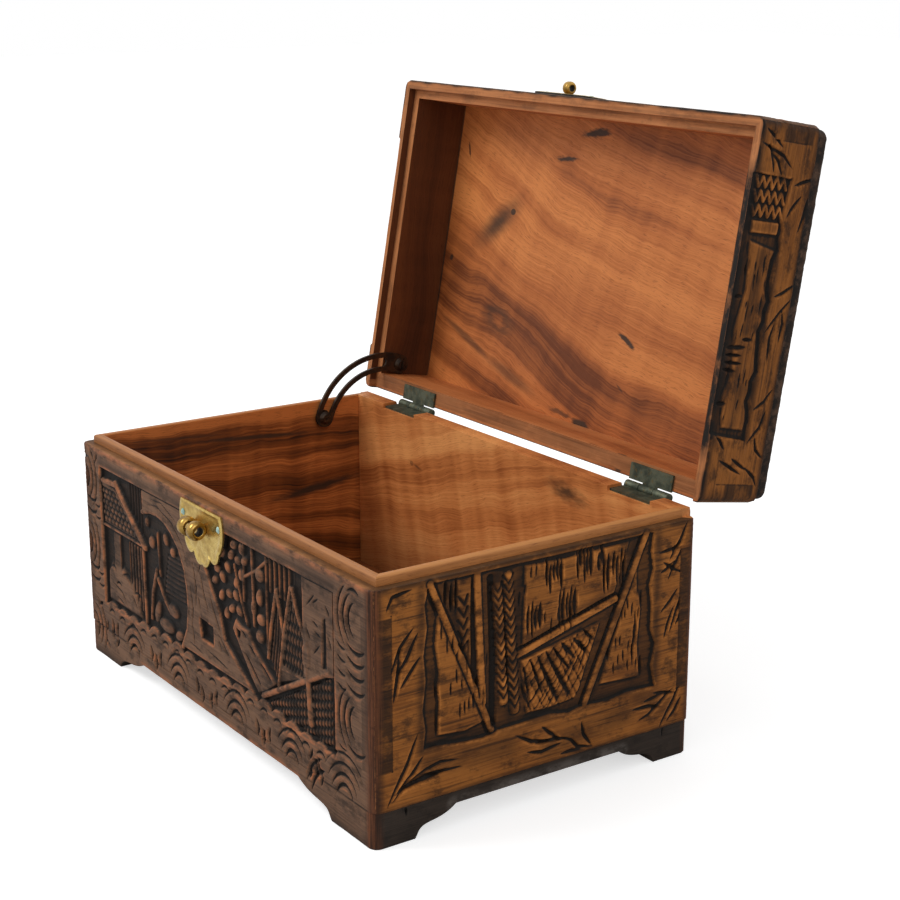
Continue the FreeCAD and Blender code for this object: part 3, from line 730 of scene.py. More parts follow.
class Bench:
    """Node tree of one finish, or of the world, while it is wired."""

    MIX_SHARE, MIX_FIRST, MIX_SECOND, MIX_RESULT = 0, 6, 7, 2

    def __init__(self, owner: bpy.types.ID, shader: str = "BsdfPrincipled",
                 output: str = "OutputMaterial") -> None:
        """Start an empty tree.

        Args:
            owner: Material or world that the tree belongs to.
            shader: Type of its last shader.
            output: Type of its output.
        """
        self.owner = owner
        owner.use_nodes = True
        self.tree = owner.node_tree
        self.tree.nodes.clear()
        self.shader = self.add(shader)
        self.add(output, {"Surface": self.shader.outputs[0]})

    def add(self, kind: str, inputs: Optional[Dict] = None, **settings) -> bpy.types.Node:
        """Add a node.

        Args:
            kind: Node type, without the ShaderNode that each starts with.
            inputs: Value or output for each named or numbered input.
            **settings: Node properties.

        Returns:
            The node.
        """
        node = self.tree.nodes.new(f"ShaderNode{kind}")
        for key, value in settings.items():
            setattr(node, key, value)
        self.feed(node, inputs or {})
        return node

    def feed(self, node: bpy.types.Node, inputs: Dict) -> None:
        """Set or link a node's inputs.

        Args:
            node: Node to feed.
            inputs: Value or output for each named or numbered input.
        """
        for key, value in inputs.items():
            if isinstance(value, Socket):
                self.tree.links.new(value, node.inputs[key])
            else:
                node.inputs[key].default_value = value

    def attribute(self, name: str) -> Socket:
        """Number stored on the mesh."""
        return self.add("Attribute", attribute_name=name).outputs["Fac"]

    def grain(self, source: Grain) -> Socket:
        """Coordinates that the grain follows."""
        if source is Grain.BOARD:
            return self.add("Attribute", attribute_name="board").outputs["Vector"]
        return self.add("TexCoord").outputs["Object"]

    def math(self, operation: str, a: Number, b: Number = 0.0, c: Number = 0.0) -> Socket:
        """One sum of numbers."""
        return self.add("Math", {0: a, 1: b, 2: c}, operation=operation).outputs[0]

    def spread(self, value: Number, low: float, high: float, to_low: float = 0.0,
               to_high: float = 1.0) -> Socket:
        """Map a number smoothly from one range to another."""
        inputs = {"Value": value, "From Min": low, "From Max": high, "To Min": to_low, "To Max": to_high}
        return self.add("MapRange", inputs, interpolation_type="SMOOTHSTEP").outputs["Result"]

    def stretch(self, vector: Socket, scale: Place, turn: float = 0.0) -> Socket:
        """Turn coordinates about their third axis, then scale them."""
        turned = self.add("Mapping", {"Vector": vector,
                                      "Rotation": (0, 0, math.radians(turn))}).outputs["Vector"]
        return self.add("VectorMath", {0: turned, 1: scale}, operation="MULTIPLY").outputs["Vector"]

    def noise(self, vector: Socket, scale: Union[float, Place], detail: float, rough: float) -> Socket:
        """Cloudy noise from 0 to 1.

        Args:
            vector: Coordinates.
            scale: Clouds per metre, or how many along each axis.
            detail: How many finer clouds lie in each.
            rough: How strong the finer clouds are.

        Returns:
            The noise.
        """
        if isinstance(scale, tuple):
            vector, scale = self.stretch(vector, scale), 1.0
        inputs = {"Vector": vector, "Scale": scale, "Detail": detail, "Roughness": rough}
        return self.add("TexNoise", inputs).outputs["Fac"]

    def ramp(self, value: Number, stops: Sequence[Tuple[float, Colour]]) -> Socket:
        """Colour along a ramp of stops.

        Args:
            value: Where on the ramp.
            stops: Place and colour of each stop.

        Returns:
            The colour.
        """
        node = self.add("ValToRGB", {"Fac": value})
        elements = node.color_ramp.elements
        while len(elements) < len(stops):
            elements.new(0.5)
        for element, (place, colour) in zip(elements, stops):
            element.position = place
            element.color = paint(colour)
        return node.outputs["Color"]

    def blend(self, share: Number, first: Tint, second: Tint, mode: str = "MIX") -> Socket:
        """Mix two colours."""
        inputs = {self.MIX_SHARE: share, self.MIX_FIRST: paint(first), self.MIX_SECOND: paint(second)}
        return self.add("Mix", inputs, data_type="RGBA", blend_type=mode).outputs[self.MIX_RESULT]

    def bump(self, height: Socket, strength: float, distance: float) -> None:
        """Give the shader fine bumps."""
        node = self.add("Bump", {"Height": height, "Strength": strength, "Distance": distance})
        self.feed(self.shader, {"Normal": node.outputs["Normal"]})


class Finish:
    """Finish of a surface, wired once and shared by all pieces that have it."""

    name: str

    @lru_cache(maxsize=None)
    def material(self) -> bpy.types.Material:
        """Wire the finish.

        Returns:
            The material.
        """
        b = Bench(bpy.data.materials.new(self.name))
        self.wire(b)
        return b.owner


@dataclass(frozen=True)
class KnotOrShade:
    """Knot, stain, streak or patch of painted shade on a planed face, in millimetres along and up the board.
    """

    u: float
    v: float
    length: float
    width: float
    turn: float = 0.0
    darkness: float = 0.6
    swirl: float = 0.0
    soft: float = 0.0
    ragged: float = 0.9
    ring: bool = False

    def wire(self, b: Bench, at: Socket, rise: Socket) -> Tuple[Socket, Socket]:
        """Add the knot or patch of shade to a finish.

        Args:
            b: Finish that is being wired.
            at: Coordinates of the board.
            rise: Coordinate across the grain.

        Returns:
            The coordinate across the grain, bent where a knot swirls it, and the mark's darkness.
        """
        shift = (-self.u * MM, -self.v * MM, 0)
        local = b.add("VectorMath", {0: at, 1: shift}, operation="ADD").outputs["Vector"]
        ring = b.stretch(local, (2 / (self.length * MM), 2 / (self.width * MM), 0), -self.turn)
        away = b.add("VectorMath", {0: ring}, operation="LENGTH").outputs["Value"]
        if self.swirl:
            rise = b.math("ADD", rise, b.spread(away, 0.0, 3.2, self.swirl * MM, 0.0))
        tear = b.math("MULTIPLY", b.noise(at, (110, 330, 110), 5.0, 0.65), self.ragged)
        torn = b.math("ADD", away, tear)
        dark = b.spread(torn, 0.95 - 0.7 * self.soft, 1.35 + 0.2 * self.soft, self.darkness, 0.0)
        if self.ring:
            dark = b.math("MULTIPLY", dark, b.spread(torn, 0.55, 0.95))
        return rise, dark


@dataclass(frozen=True)
class OiledWood(Finish):
    """Oiled camphor wood with wavy figure, fine pores, a few knots and stains, and patches of painted shade.
    """

    name: str
    light: Colour
    middle: Colour
    dark: Colour
    source: Grain = Grain.BOARD
    turn: float = 0.0
    figure: float = 1.0
    contrast: float = 1.0
    curl: float = 0.08
    knots_and_shade: Tuple[KnotOrShade, ...] = ()
    stain: Colour = (52.53, 38.68, 28.58)
    rubbed: Colour = (184, 122, 70)
    roughness: float = 0.5
    gloss: float = 0.28

    def wire(self, b: Bench) -> None:
        """Wire the wood: bent grain, knots and painted shade, streaks from broad to fine, and pores.

        Args:
            b: Finish that is being wired.
        """
        at = b.grain(self.source)
        flow = b.stretch(at, (1, 1, 1), self.turn)
        place = b.add("SeparateXYZ", {0: flow}).outputs
        bend = b.noise(flow, (4, 9, 9), 1.0, 0.4)
        wave = b.noise(flow, (26, 32, 32), 2.0, 0.5)
        rise = b.math("ADD", place["Y"], b.math("MULTIPLY", bend, 0.055 * self.figure))
        rise = b.math("ADD", rise, b.math("MULTIPLY", wave, 0.012 * self.figure))
        marks = 0.0
        for knot in self.knots_and_shade:
            rise, dark = knot.wire(b, at, rise)
            marks = b.math("MAXIMUM", marks, dark)
        bands = self.strands(b, place, rise, (1.7, 30.0, 22.0), 2.0)
        lines = self.strands(b, place, rise, (2.4, 150.0, 100.0), 3.0)
        fibre = self.strands(b, place, rise, (9.0, 900.0, 900.0), 4.0)
        pores = self.strands(b, place, rise, (150.0, 2400.0, 2400.0), 2.0)
        cloud = b.noise(flow, (8, 15, 15), 2.0, 0.5)
        curl = b.noise(flow, (85, 9, 9), 1.0, 0.4)
        tone = 0.0
        weights = (0.44, 0.16, 0.16, 0.24 - self.curl, self.curl)
        for part, weight in zip((bands, lines, fibre, cloud, curl), weights):
            tone = b.math("MULTIPLY_ADD", part, weight, tone)
        reach = 0.12 / self.contrast
        colour = b.ramp(tone, [(0.49 - reach, self.dark), (0.49, self.middle), (0.49 + reach, self.light)])
        colour = b.blend(b.spread(pores, 0.56, 0.70, 0.0, 0.5), colour, self.dark, "MULTIPLY")
        rubbed = b.math("MULTIPLY", b.attribute("worn"), b.spread(fibre, 0.25, 0.55, 0.35, 0.9))
        # The knots' dark colour also paints the patches of shade.
        colour = b.blend(marks, b.blend(rubbed, colour, self.rubbed), self.stain)
        rough = b.spread(fibre, 0.2, 0.8, self.roughness + 0.1, self.roughness - 0.06)
        b.feed(b.shader, {"Base Color": colour, "Roughness": rough, "Specular IOR Level": self.gloss})
        b.bump(b.math("ADD", fibre, b.math("MULTIPLY", pores, -0.7)), 0.22, 0.0003)

    @staticmethod
    def strands(b: Bench, place: bpy.types.NodeOutputs, rise: Socket, pitch: Place,
                detail: float) -> Socket:
        """Streaks that run along the grain.

        Args:
            b: Finish that is being wired.
            place: Coordinates along, across and into the board.
            rise: Coordinate across the bent grain.
            pitch: Streaks per metre along, across and into the board.
            detail: How many finer streaks lie in each.

        Returns:
            Noise from 0 to 1.
        """
        axes = (place["X"], rise, place["Z"])
        parts = {n: b.math("MULTIPLY", axis, pitch[n]) for n, axis in enumerate(axes)}
        return b.noise(b.add("CombineXYZ", parts).outputs["Vector"], 1.0, detail, 0.6)


@dataclass(frozen=True)
class CarvedStain(Finish):
    """Stained carved wood: near-black in the cuts from stain and painted shade, worn to bare colour on the
    edges.
    """

    name: str
    flat: Colour
    pale: Colour
    worn: Colour
    cut: Colour
    depth: Point = (0.35, 2.0)
    deepness: float = 0.8
    streak: float = 0.5
    vein: float = 0.25
    grime: float = 0.5
    post: Tuple[Colour, Colour] = ((50, 31, 22), (112, 66, 42))
    roughness: float = 0.6
    gloss: float = 0.14

    def wire(self, b: Bench) -> None:
        """Wire the stain: streaks and veins, worn edges, grime, the corners' end grain, and dark cuts with
        painted shade.

        Args:
            b: Finish that is being wired.
        """
        at = b.grain(Grain.BOARD)
        carve, worn = b.attribute("carve"), b.attribute("worn")
        fibre = b.noise(at, (26, 1000, 1000), 4.0, 0.7)
        cloud = b.noise(at, (22, 30, 30), 4.0, 0.6)
        dirt = b.noise(at, (70, 110, 110), 5.0, 0.7)
        vein = b.noise(at, (11, 430, 430), 4.0, 0.65)
        upright = b.noise(at, (520, 16, 520), 4.0, 0.65)
        fine, broad = b.math("MULTIPLY", fibre, self.streak), b.math("MULTIPLY", cloud, 1 - self.streak)
        colour = b.blend(b.spread(b.math("ADD", fine, broad), 0.37, 0.61), self.flat, self.pale)
        colour = b.blend(b.spread(vein, 0.52, 0.66, 0.0, self.vein), colour, self.cut)
        edge = b.math("MULTIPLY", b.spread(worn, 0.05, 0.5), b.spread(dirt, 0.36, 0.60, 1.0, 0.2))
        colour = b.blend(edge, colour, self.worn)
        soot = b.math("MULTIPLY", b.attribute("soot"), b.spread(dirt, 0.32, 0.54, 0.5, 1.0))
        smear = b.math("MAXIMUM", b.math("MULTIPLY", b.spread(dirt, 0.48, 0.66), self.grime), soot)
        colour = b.blend(smear, colour, self.cut)
        end_grain = b.blend(b.spread(upright, 0.40, 0.62), *self.post)
        colour = b.blend(b.math("MULTIPLY", b.attribute("post"), 0.88), colour, end_grain)
        # Cuts darken with depth, partly dark stain and partly painted shade; the hollow term paints shade
        # where a place lies below its surroundings.
        uneven = b.math("MULTIPLY", b.math("SUBTRACT", dirt, 0.5), 1.1)
        sunk = b.math("MULTIPLY", b.spread(b.math("ADD", carve, uneven), *self.depth), self.deepness)
        hollow = b.math("MULTIPLY", b.spread(worn, -0.04, -0.34), 0.9)
        colour = b.blend(b.math("MINIMUM", b.math("ADD", sunk, hollow), 0.97), colour, self.cut)
        rough = b.spread(edge, 0.0, 1.0, self.roughness, self.roughness - 0.14)
        b.feed(b.shader, {"Base Color": colour, "Roughness": rough, "Specular IOR Level": self.gloss})
        b.bump(b.math("ADD", fibre, b.math("MULTIPLY", dirt, 0.6)), 0.30, 0.0005)


@dataclass(frozen=True)
class AgedBrass(Finish):
    """Brass that has dulled and spotted, from pale gold to near-black."""

    name: str
    bright: Colour
    dull: Colour
    spot: Colour
    spots: float
    metallic: float
    roughness: Point

    def wire(self, b: Bench) -> None:
        """Wire the brass: clouds of dullness, spots and a slightly uneven surface.

        Args:
            b: Finish that is being wired.
        """
        at = b.grain(Grain.OBJECT)
        cloud = b.noise(at, 160.0, 4.0, 0.6)
        fine = b.noise(at, 900.0, 3.0, 0.6)
        colour = b.blend(b.spread(cloud, 0.36, 0.66), self.bright, self.dull)
        spot = b.math("MULTIPLY", b.spread(b.noise(at, 420.0, 4.0, 0.7), 0.54, 0.70), self.spots)
        rough = b.spread(cloud, 0.3, 0.7, *self.roughness)
        colour = b.blend(spot, colour, self.spot)
        b.feed(b.shader, {"Base Color": colour, "Roughness": rough, "Metallic": self.metallic})
        b.bump(b.math("ADD", cloud, b.math("MULTIPLY", fine, 0.5)), 0.25, 0.0004)


class Carving:
    """Carving of one face."""

    r: Relief

    def scroll(self, centre: Point, radii: Sequence[float], start: float, end: float,
               squash: float = 1.15) -> None:
        """Cut one cloud scroll of nested crescents, from the inside, between two angles in degrees."""
        for n, radius in enumerate(radii):
            self.r.arc(centre, radius, start + 6 * n, end - 6 * n, 3.2 - 0.3 * n, 1.6 - 0.15 * n, squash)


@dataclass
class FrontCarving(Carving):
    """Front: a house, a moon gate, trees, sails and a net in a sunk field, inside a border of clouds."""

    left: float = -130.0
    right: float = 119.5
    head: float = 114.2
    foot: float = 34.0
    ground: float = -2.5

    def relief(self) -> Relief:
        """Carve the whole front, from the feet to the ledge.

        Returns:
            The front's height map.
        """
        r = self.r = Relief(-S.half_w, S.half_w, 0.0, S.ledge_z)
        r.plate(rect(self.left, self.right, self.foot, self.head), self.ground, 0.8)
        for motif in (self.house, self.moon_gate, self.tree, self.sails, self.net, self.border):
            motif()
        seat = [(-27, 123), (15, 123), (16, 112), (12, 101), (3, 95), (-6, 93), (-15, 95), (-24, 101),
                (-28, 112)]
        r.plate(seat, 0.0, 0.6)
        self.grime()
        r.weather(0.05)
        return r

    def house(self) -> None:
        """Carve the tiled roof, the boarded wall with its window, and the rock before it."""
        r = self.r
        r.hatch(rect(-98, -79, 80, 114), 90, 3.4, 0.9)
        r.plate([(-129.5, 82), (-129.5, 105.5), (-112, 105.5), (-80, 82)], -1.0, 0.8)
        r.scales([(-129, 83), (-129, 103), (-113, 103), (-85, 83)], (4.6, 3.2), 0.9)
        r.bead([(-128, 106.5), (-111, 107.5)], 3.6, -0.2)
        r.bead([(-111.5, 108.5), (-95, 95), (-76.5, 81)], 3.8, 0.0)
        r.bead([(-130, 80.8), (-77, 80.8)], 2.0, -0.8)
        r.plate(rect(-118, -108.5, 58, 79.5), -1.3)
        boards = rect(-98.5, -80, 42, 79.5)
        r.plate(boards, -1.3)
        r.hatch(boards, 90, 3.7, 1.1)
        r.bead([(-79.5, 82), (-79, 38)], 2.8, -0.6)
        rock = [(-128, 36), (-127, 56), (-122, 62.5), (-112, 61), (-106, 62.5), (-97, 58.5), (-90, 52),
                (-84, 44), (-80, 36)]
        r.plate(rock, -0.6, 4.0)
        for centre, radius, start, end in (((-119, 54), 5, 20, 150), ((-103, 51), 7, 20, 130),
                                           ((-90, 45), 6, 10, 120), ((-112, 47), 4, 30, 150)):
            r.arc(centre, radius, start, end, 1.9, 1.1)
        for path in ([(-123, 50), (-108, 46), (-100, 39)], [(-116, 43), (-104, 39)],
                     [(-96, 50), (-88, 41)]):
            r.cut(path, 1.4, 0.7)

    def moon_gate(self) -> None:
        """Carve the round gate, the great trunk beside it with its diamond window, and the plants inside."""
        r = self.r
        arch = [(-78, 101), (-69, 103.5), (-60, 104), (-51, 102.5), (-43, 98.5), (-35, 92), (-30, 84),
                (-27, 74), (-26, 64), (-28, 50), (-35, 38)]
        trunk = [(-78, 114), (-8, 114), (-6, 92), (2, 80), (9, 71), (14, 57), (28, 48),
                 (44, 38)] + arch[::-1]
        r.plate(trunk, -0.4, 0.9)
        r.bead(arch, 3.0, -0.1)
        r.cut([(-78, 106), (-60, 108.5), (-43, 104), (-31, 95), (-23, 82)], 1.3, 0.7)
        r.cut([(-74, 110.5), (-54, 111.5), (-38, 106), (-30, 101)], 1.2, 0.6)
        r.cut([(-24, 80), (-21, 64), (-23, 48)], 1.2, 0.6)
        for path in ([(-20, 92), (-16.5, 76), (-18, 62)], [(-12, 88), (-8, 75), (-2, 64)],
                     [(-4, 82), (3, 68), (13, 53)], [(-22, 55), (-20, 42)], [(4, 60), (20, 47)],
                     [(-10, 46), (22, 41)], [(-15, 73), (-12, 65)], [(-9, 95), (-14, 84)],
                     [(6, 56), (10, 49)], [(-28, 44), (-8, 41)]):
            r.cut(path, 1.3, 0.7)
        r.plate([(-14, 61), (1, 60), (1, 50), (-12, 50)], self.ground - 0.5, 0.5)
        screen = [(-58, 60), (-29, 60), (-30, 83), (-38, 90), (-52, 84)]
        r.plate(screen, -1.8, 3.0)
        r.hatch(screen, 4, 2.8, 0.8, 0.6)
        r.bead([(-61.5, 93), (-60, 70)], 2.4, -1.0)
        r.bead([(-64, 72), (-70, 58), (-72.5, 42)], 3.4, -0.8, tip=0.7)
        r.bead([(-63, 67), (-55, 57), (-49, 52)], 3.0, -0.9)
        for centre, radii, turn in (((-65, 48), (3.4, 7), -20), ((-69, 86), (3.8, 3.6), 0),
                                    ((-44, 87), (3, 3), 0), ((-46, 54), (6, 3.8), -10),
                                    ((-55, 43), (9, 4), 0), ((-40, 42), (5, 3), 20), ((-74, 96), (2, 3), 0),
                                    ((-52, 92), (2.6, 4), 30)):
            r.dome(centre, radii, -2.1, 1.4, turn)

    def tree(self) -> None:
        """Carve the tree's leaves, the stems with their pods, and the roots below."""
        r = self.r
        leaves = [(3, 86), (10, 80), (11.5, 90), (18, 83), (20.5, 76), (26, 91), (17, 96.5), (28, 103),
                  (34.5, 104.5), (15, 72), (25, 84), (6, 93), (21, 104), (31, 96.5), (28, 77), (24, 110),
                  (12, 103), (32, 110)]
        for i, centre in enumerate(leaves):
            r.dome(centre, (3.5, 2.5), -2.3, 2.0, 25 + 47 * i)
        for path, width in (([(42, 113), (43, 74)], 2.6), ([(57, 111), (46, 103), (33, 96)], 2.2),
                            ([(34, 113), (33, 84)], 2.0), ([(56, 113), (56, 64)], 1.8),
                            ([(24, 100), (30, 84), (36, 72)], 2.0)):
            r.bead(path, width, -0.9)
        for centre, radii in (((49.5, 101.5), (4.2, 3.8)), ((49, 90), (2.8, 4.6)), ((50, 79), (4, 3.2)),
                              ((48.5, 70), (4, 3.6)), ((43, 83.5), (2.2, 4.6))):
            r.dome(centre, radii, -2.1, 1.9)
        roots = [(24, 73), (30, 71), (38, 70.5), (45, 63), (58, 55), (66, 51), (56, 44), (46, 39), (38, 46),
                 (29, 56), (20, 66)]
        r.plate(roots, -0.7, 1.6)
        r.plate([(25, 67.5), (29.5, 67), (29, 62.5), (25.5, 62.5)], self.ground, 0.6)
        for path in ([(37, 63), (45, 58)], [(33, 58), (46, 47)], [(48, 57), (60, 50)], [(40, 52), (50, 44)],
                     [(30, 68), (36, 65)]):
            r.cut(path, 2.0, 1.2)

    def sails(self) -> None:
        """Carve the two pointed sails, the bamboo behind them and the plain board with scratched leaves."""
        r = self.r
        r.hatch(rect(57, 82, 96, 114), 90, 4.6, -1.5)
        small = [(66, 98), (57.5, 62), (64, 52), (72, 76)]
        r.plate(small, -1.5, 1.0)
        r.hatch(small, 82, 2.6, 0.9, 0.5)
        large = [(80, 103), (68, 62), (66.5, 52), (92, 62), (91.5, 84)]
        r.plate(large, -1.2, 1.0)
        r.scales([(79.5, 98), (70, 62.5), (91, 62.5), (91, 83)], (2.7, 5.4), 1.0, 0)
        for path in ([(66, 99), (60.5, 80), (57, 62)], [(66, 99), (72.5, 78)],
                     [(79.5, 104), (72, 78), (66.5, 51)], [(81, 104), (86, 92), (92, 83)]):
            r.bead(path, 2.2, -0.3)
        r.bead([(69, 60.5), (90, 62)], 1.6, -0.7)
        board = [(90.5, 63), (119, 72), (119, 114), (90, 114)]
        r.plate(board, -0.5, 0.8)
        r.plate([(108, 73), (112.5, 74.5), (112, 100), (109, 98)], -1.5, 0.8)
        for path in ([(94, 100), (103, 108.5)], [(100, 103), (106, 107)], [(101, 90), (108, 88)],
                     [(100, 78), (107, 85)], [(94, 90), (98, 84)], [(111, 106), (116, 100)],
                     [(99, 95), (106, 92)], [(113, 92), (117, 84)]):
            r.cut(path, 1.5, 0.8)

    def net(self) -> None:
        """Carve the net that hangs under a slanting rail, and its post."""
        r = self.r
        net = [(56, 39), (112, 70), (119.5, 73), (119.5, 36), (60, 36)]
        r.plate(net, -1.2, 0.8)
        r.scales(net, (3.0, 4.2), 1.2, 18)
        r.plate([(114, 70), (119.5, 73), (119.5, 36), (115.5, 36)], self.ground, 0.8)
        r.bead([(51, 40.5), (114, 73.5)], 3.2, -0.1)
        r.bead([(94, 70), (96.5, 42)], 3.8, 0.0)
        r.plate([(90.5, 70), (97, 70), (97.5, 80), (94.5, 83.5), (90.5, 79)], 0.0, 0.8)

    def border(self) -> None:
        """Carve the clouds up both sides and the waves along the bottom and over the feet."""
        r = self.r
        for x in np.arange(-122, 118, 13.4):
            r.dome((x, 29.5 + 1.4 * math.sin(x)), (8.2, 8.0), -1.0, 0.95)
        for z in (105.0, 66.0):
            self.scroll((-151, z), (6.0, 11.0, 16.0), -72, 72, 1.3)
        self.scroll((-149, 16), (7.5, 12.5, 17.5), -50, 86)
        for z in (93.5, 86.5, 53.5, 46.5):
            r.arc((-142, z + 6), 8, 212, 328, 2.7, 1.4)
            r.arc((-135, z + 1), 5, 215, 330, 2.1, 1.1)
        for path in ([(-142, 121), (-138, 116)], [(-132.5, 121), (-136, 114.5)],
                     [(-152, 116), (-145, 116.5)]):
            r.cut(path, 2.6, 1.3)
        for z in (106.0, 57.0):
            self.scroll((140, z), (8.5, 13.0, 17.5), 108, 252, 1.05)
        for z in (92.5, 86.5, 80.0, 73.0, 43.5):
            r.arc((138, z + 8), 10, 214, 322, 2.9, 1.5)
            r.arc((127, z + 3), 6, 205, 300, 2.2, 1.1)
        r.arc((136, 112), 8, 50, 130, 2.6, 1.3)
        r.bead([(121.5, 121), (121.5, 105), (120.5, 92), (121.5, 76), (120.5, 58), (121.5, 40)], 2.4, 0.0,
               0.5)
        self.scroll((127, 14.5), (7.5, 12, 16.5, 21), 18, 168)
        self.scroll((112, 6), (15, 20), 95, 172)
        for x, z, radius in ((-94, 12, 6.5), (-40, 13.5, 6.5), (24, 14.5, 7), (79, 14.5, 6.5)):
            self.scroll((x, z), (radius, radius + 4.6, radius + 9.2), 14, 168)
            for dx, top in ((-26, 24), (-20.5, 27), (20.5, 27), (26, 24)):
                lean = math.copysign(1.8, dx)
                r.cut([(x + dx, top), (x + dx + lean, top - 5), (x + dx + 0.4 * lean, top - 10)], 3.4, 1.5)
        for x in np.arange(-122, 118, 13.4):
            r.arc((x, 27.5 + 1.4 * math.sin(x)), 5.0, 25, 150, 2.5, 1.2)
        for path in ([(-134, 33), (-140, 30)], [(-128, 24), (-130, 17)], [(-122, 27), (-120, 19)],
                     [(-133, 12), (-126, 7)], [(-114, 17), (-118, 11)], [(99, 31), (95.5, 24)],
                     [(98, 20), (94.5, 14)], [(103, 29), (105, 18)]):
            r.cut(path, 2.8, 1.5)

    def grime(self) -> None:
        """Wear the stain along the rim and the apron, and darken the corner fingers and the feet."""
        r = self.r
        r.smear([(-S.half_w, S.ledge_z), (S.half_w, S.ledge_z)], 5.0, 0.4, True)
        r.smear([(-84, 11), (84, 11)], 5.0, 0.35, True)
        r.smear([(self.left, self.head + 2.5), (self.right, self.head + 2.5)], 3.0, 0.55)
        for sign in (-1, 1):
            edge, end = sign * (S.half_w - S.wall), sign * S.half_w
            r.patch(rect(edge, end, 37, 110), 0.45)
            r.smear([(end, 0), (end, S.ledge_z)], 7.0, 0.8)
            r.smear([(sign * 112, 0), (end, 0)], 9.0, 0.7)
            r.smear([(sign * 106, S.plinth_top), (end, S.plinth_top)], 0.9, 1.0)


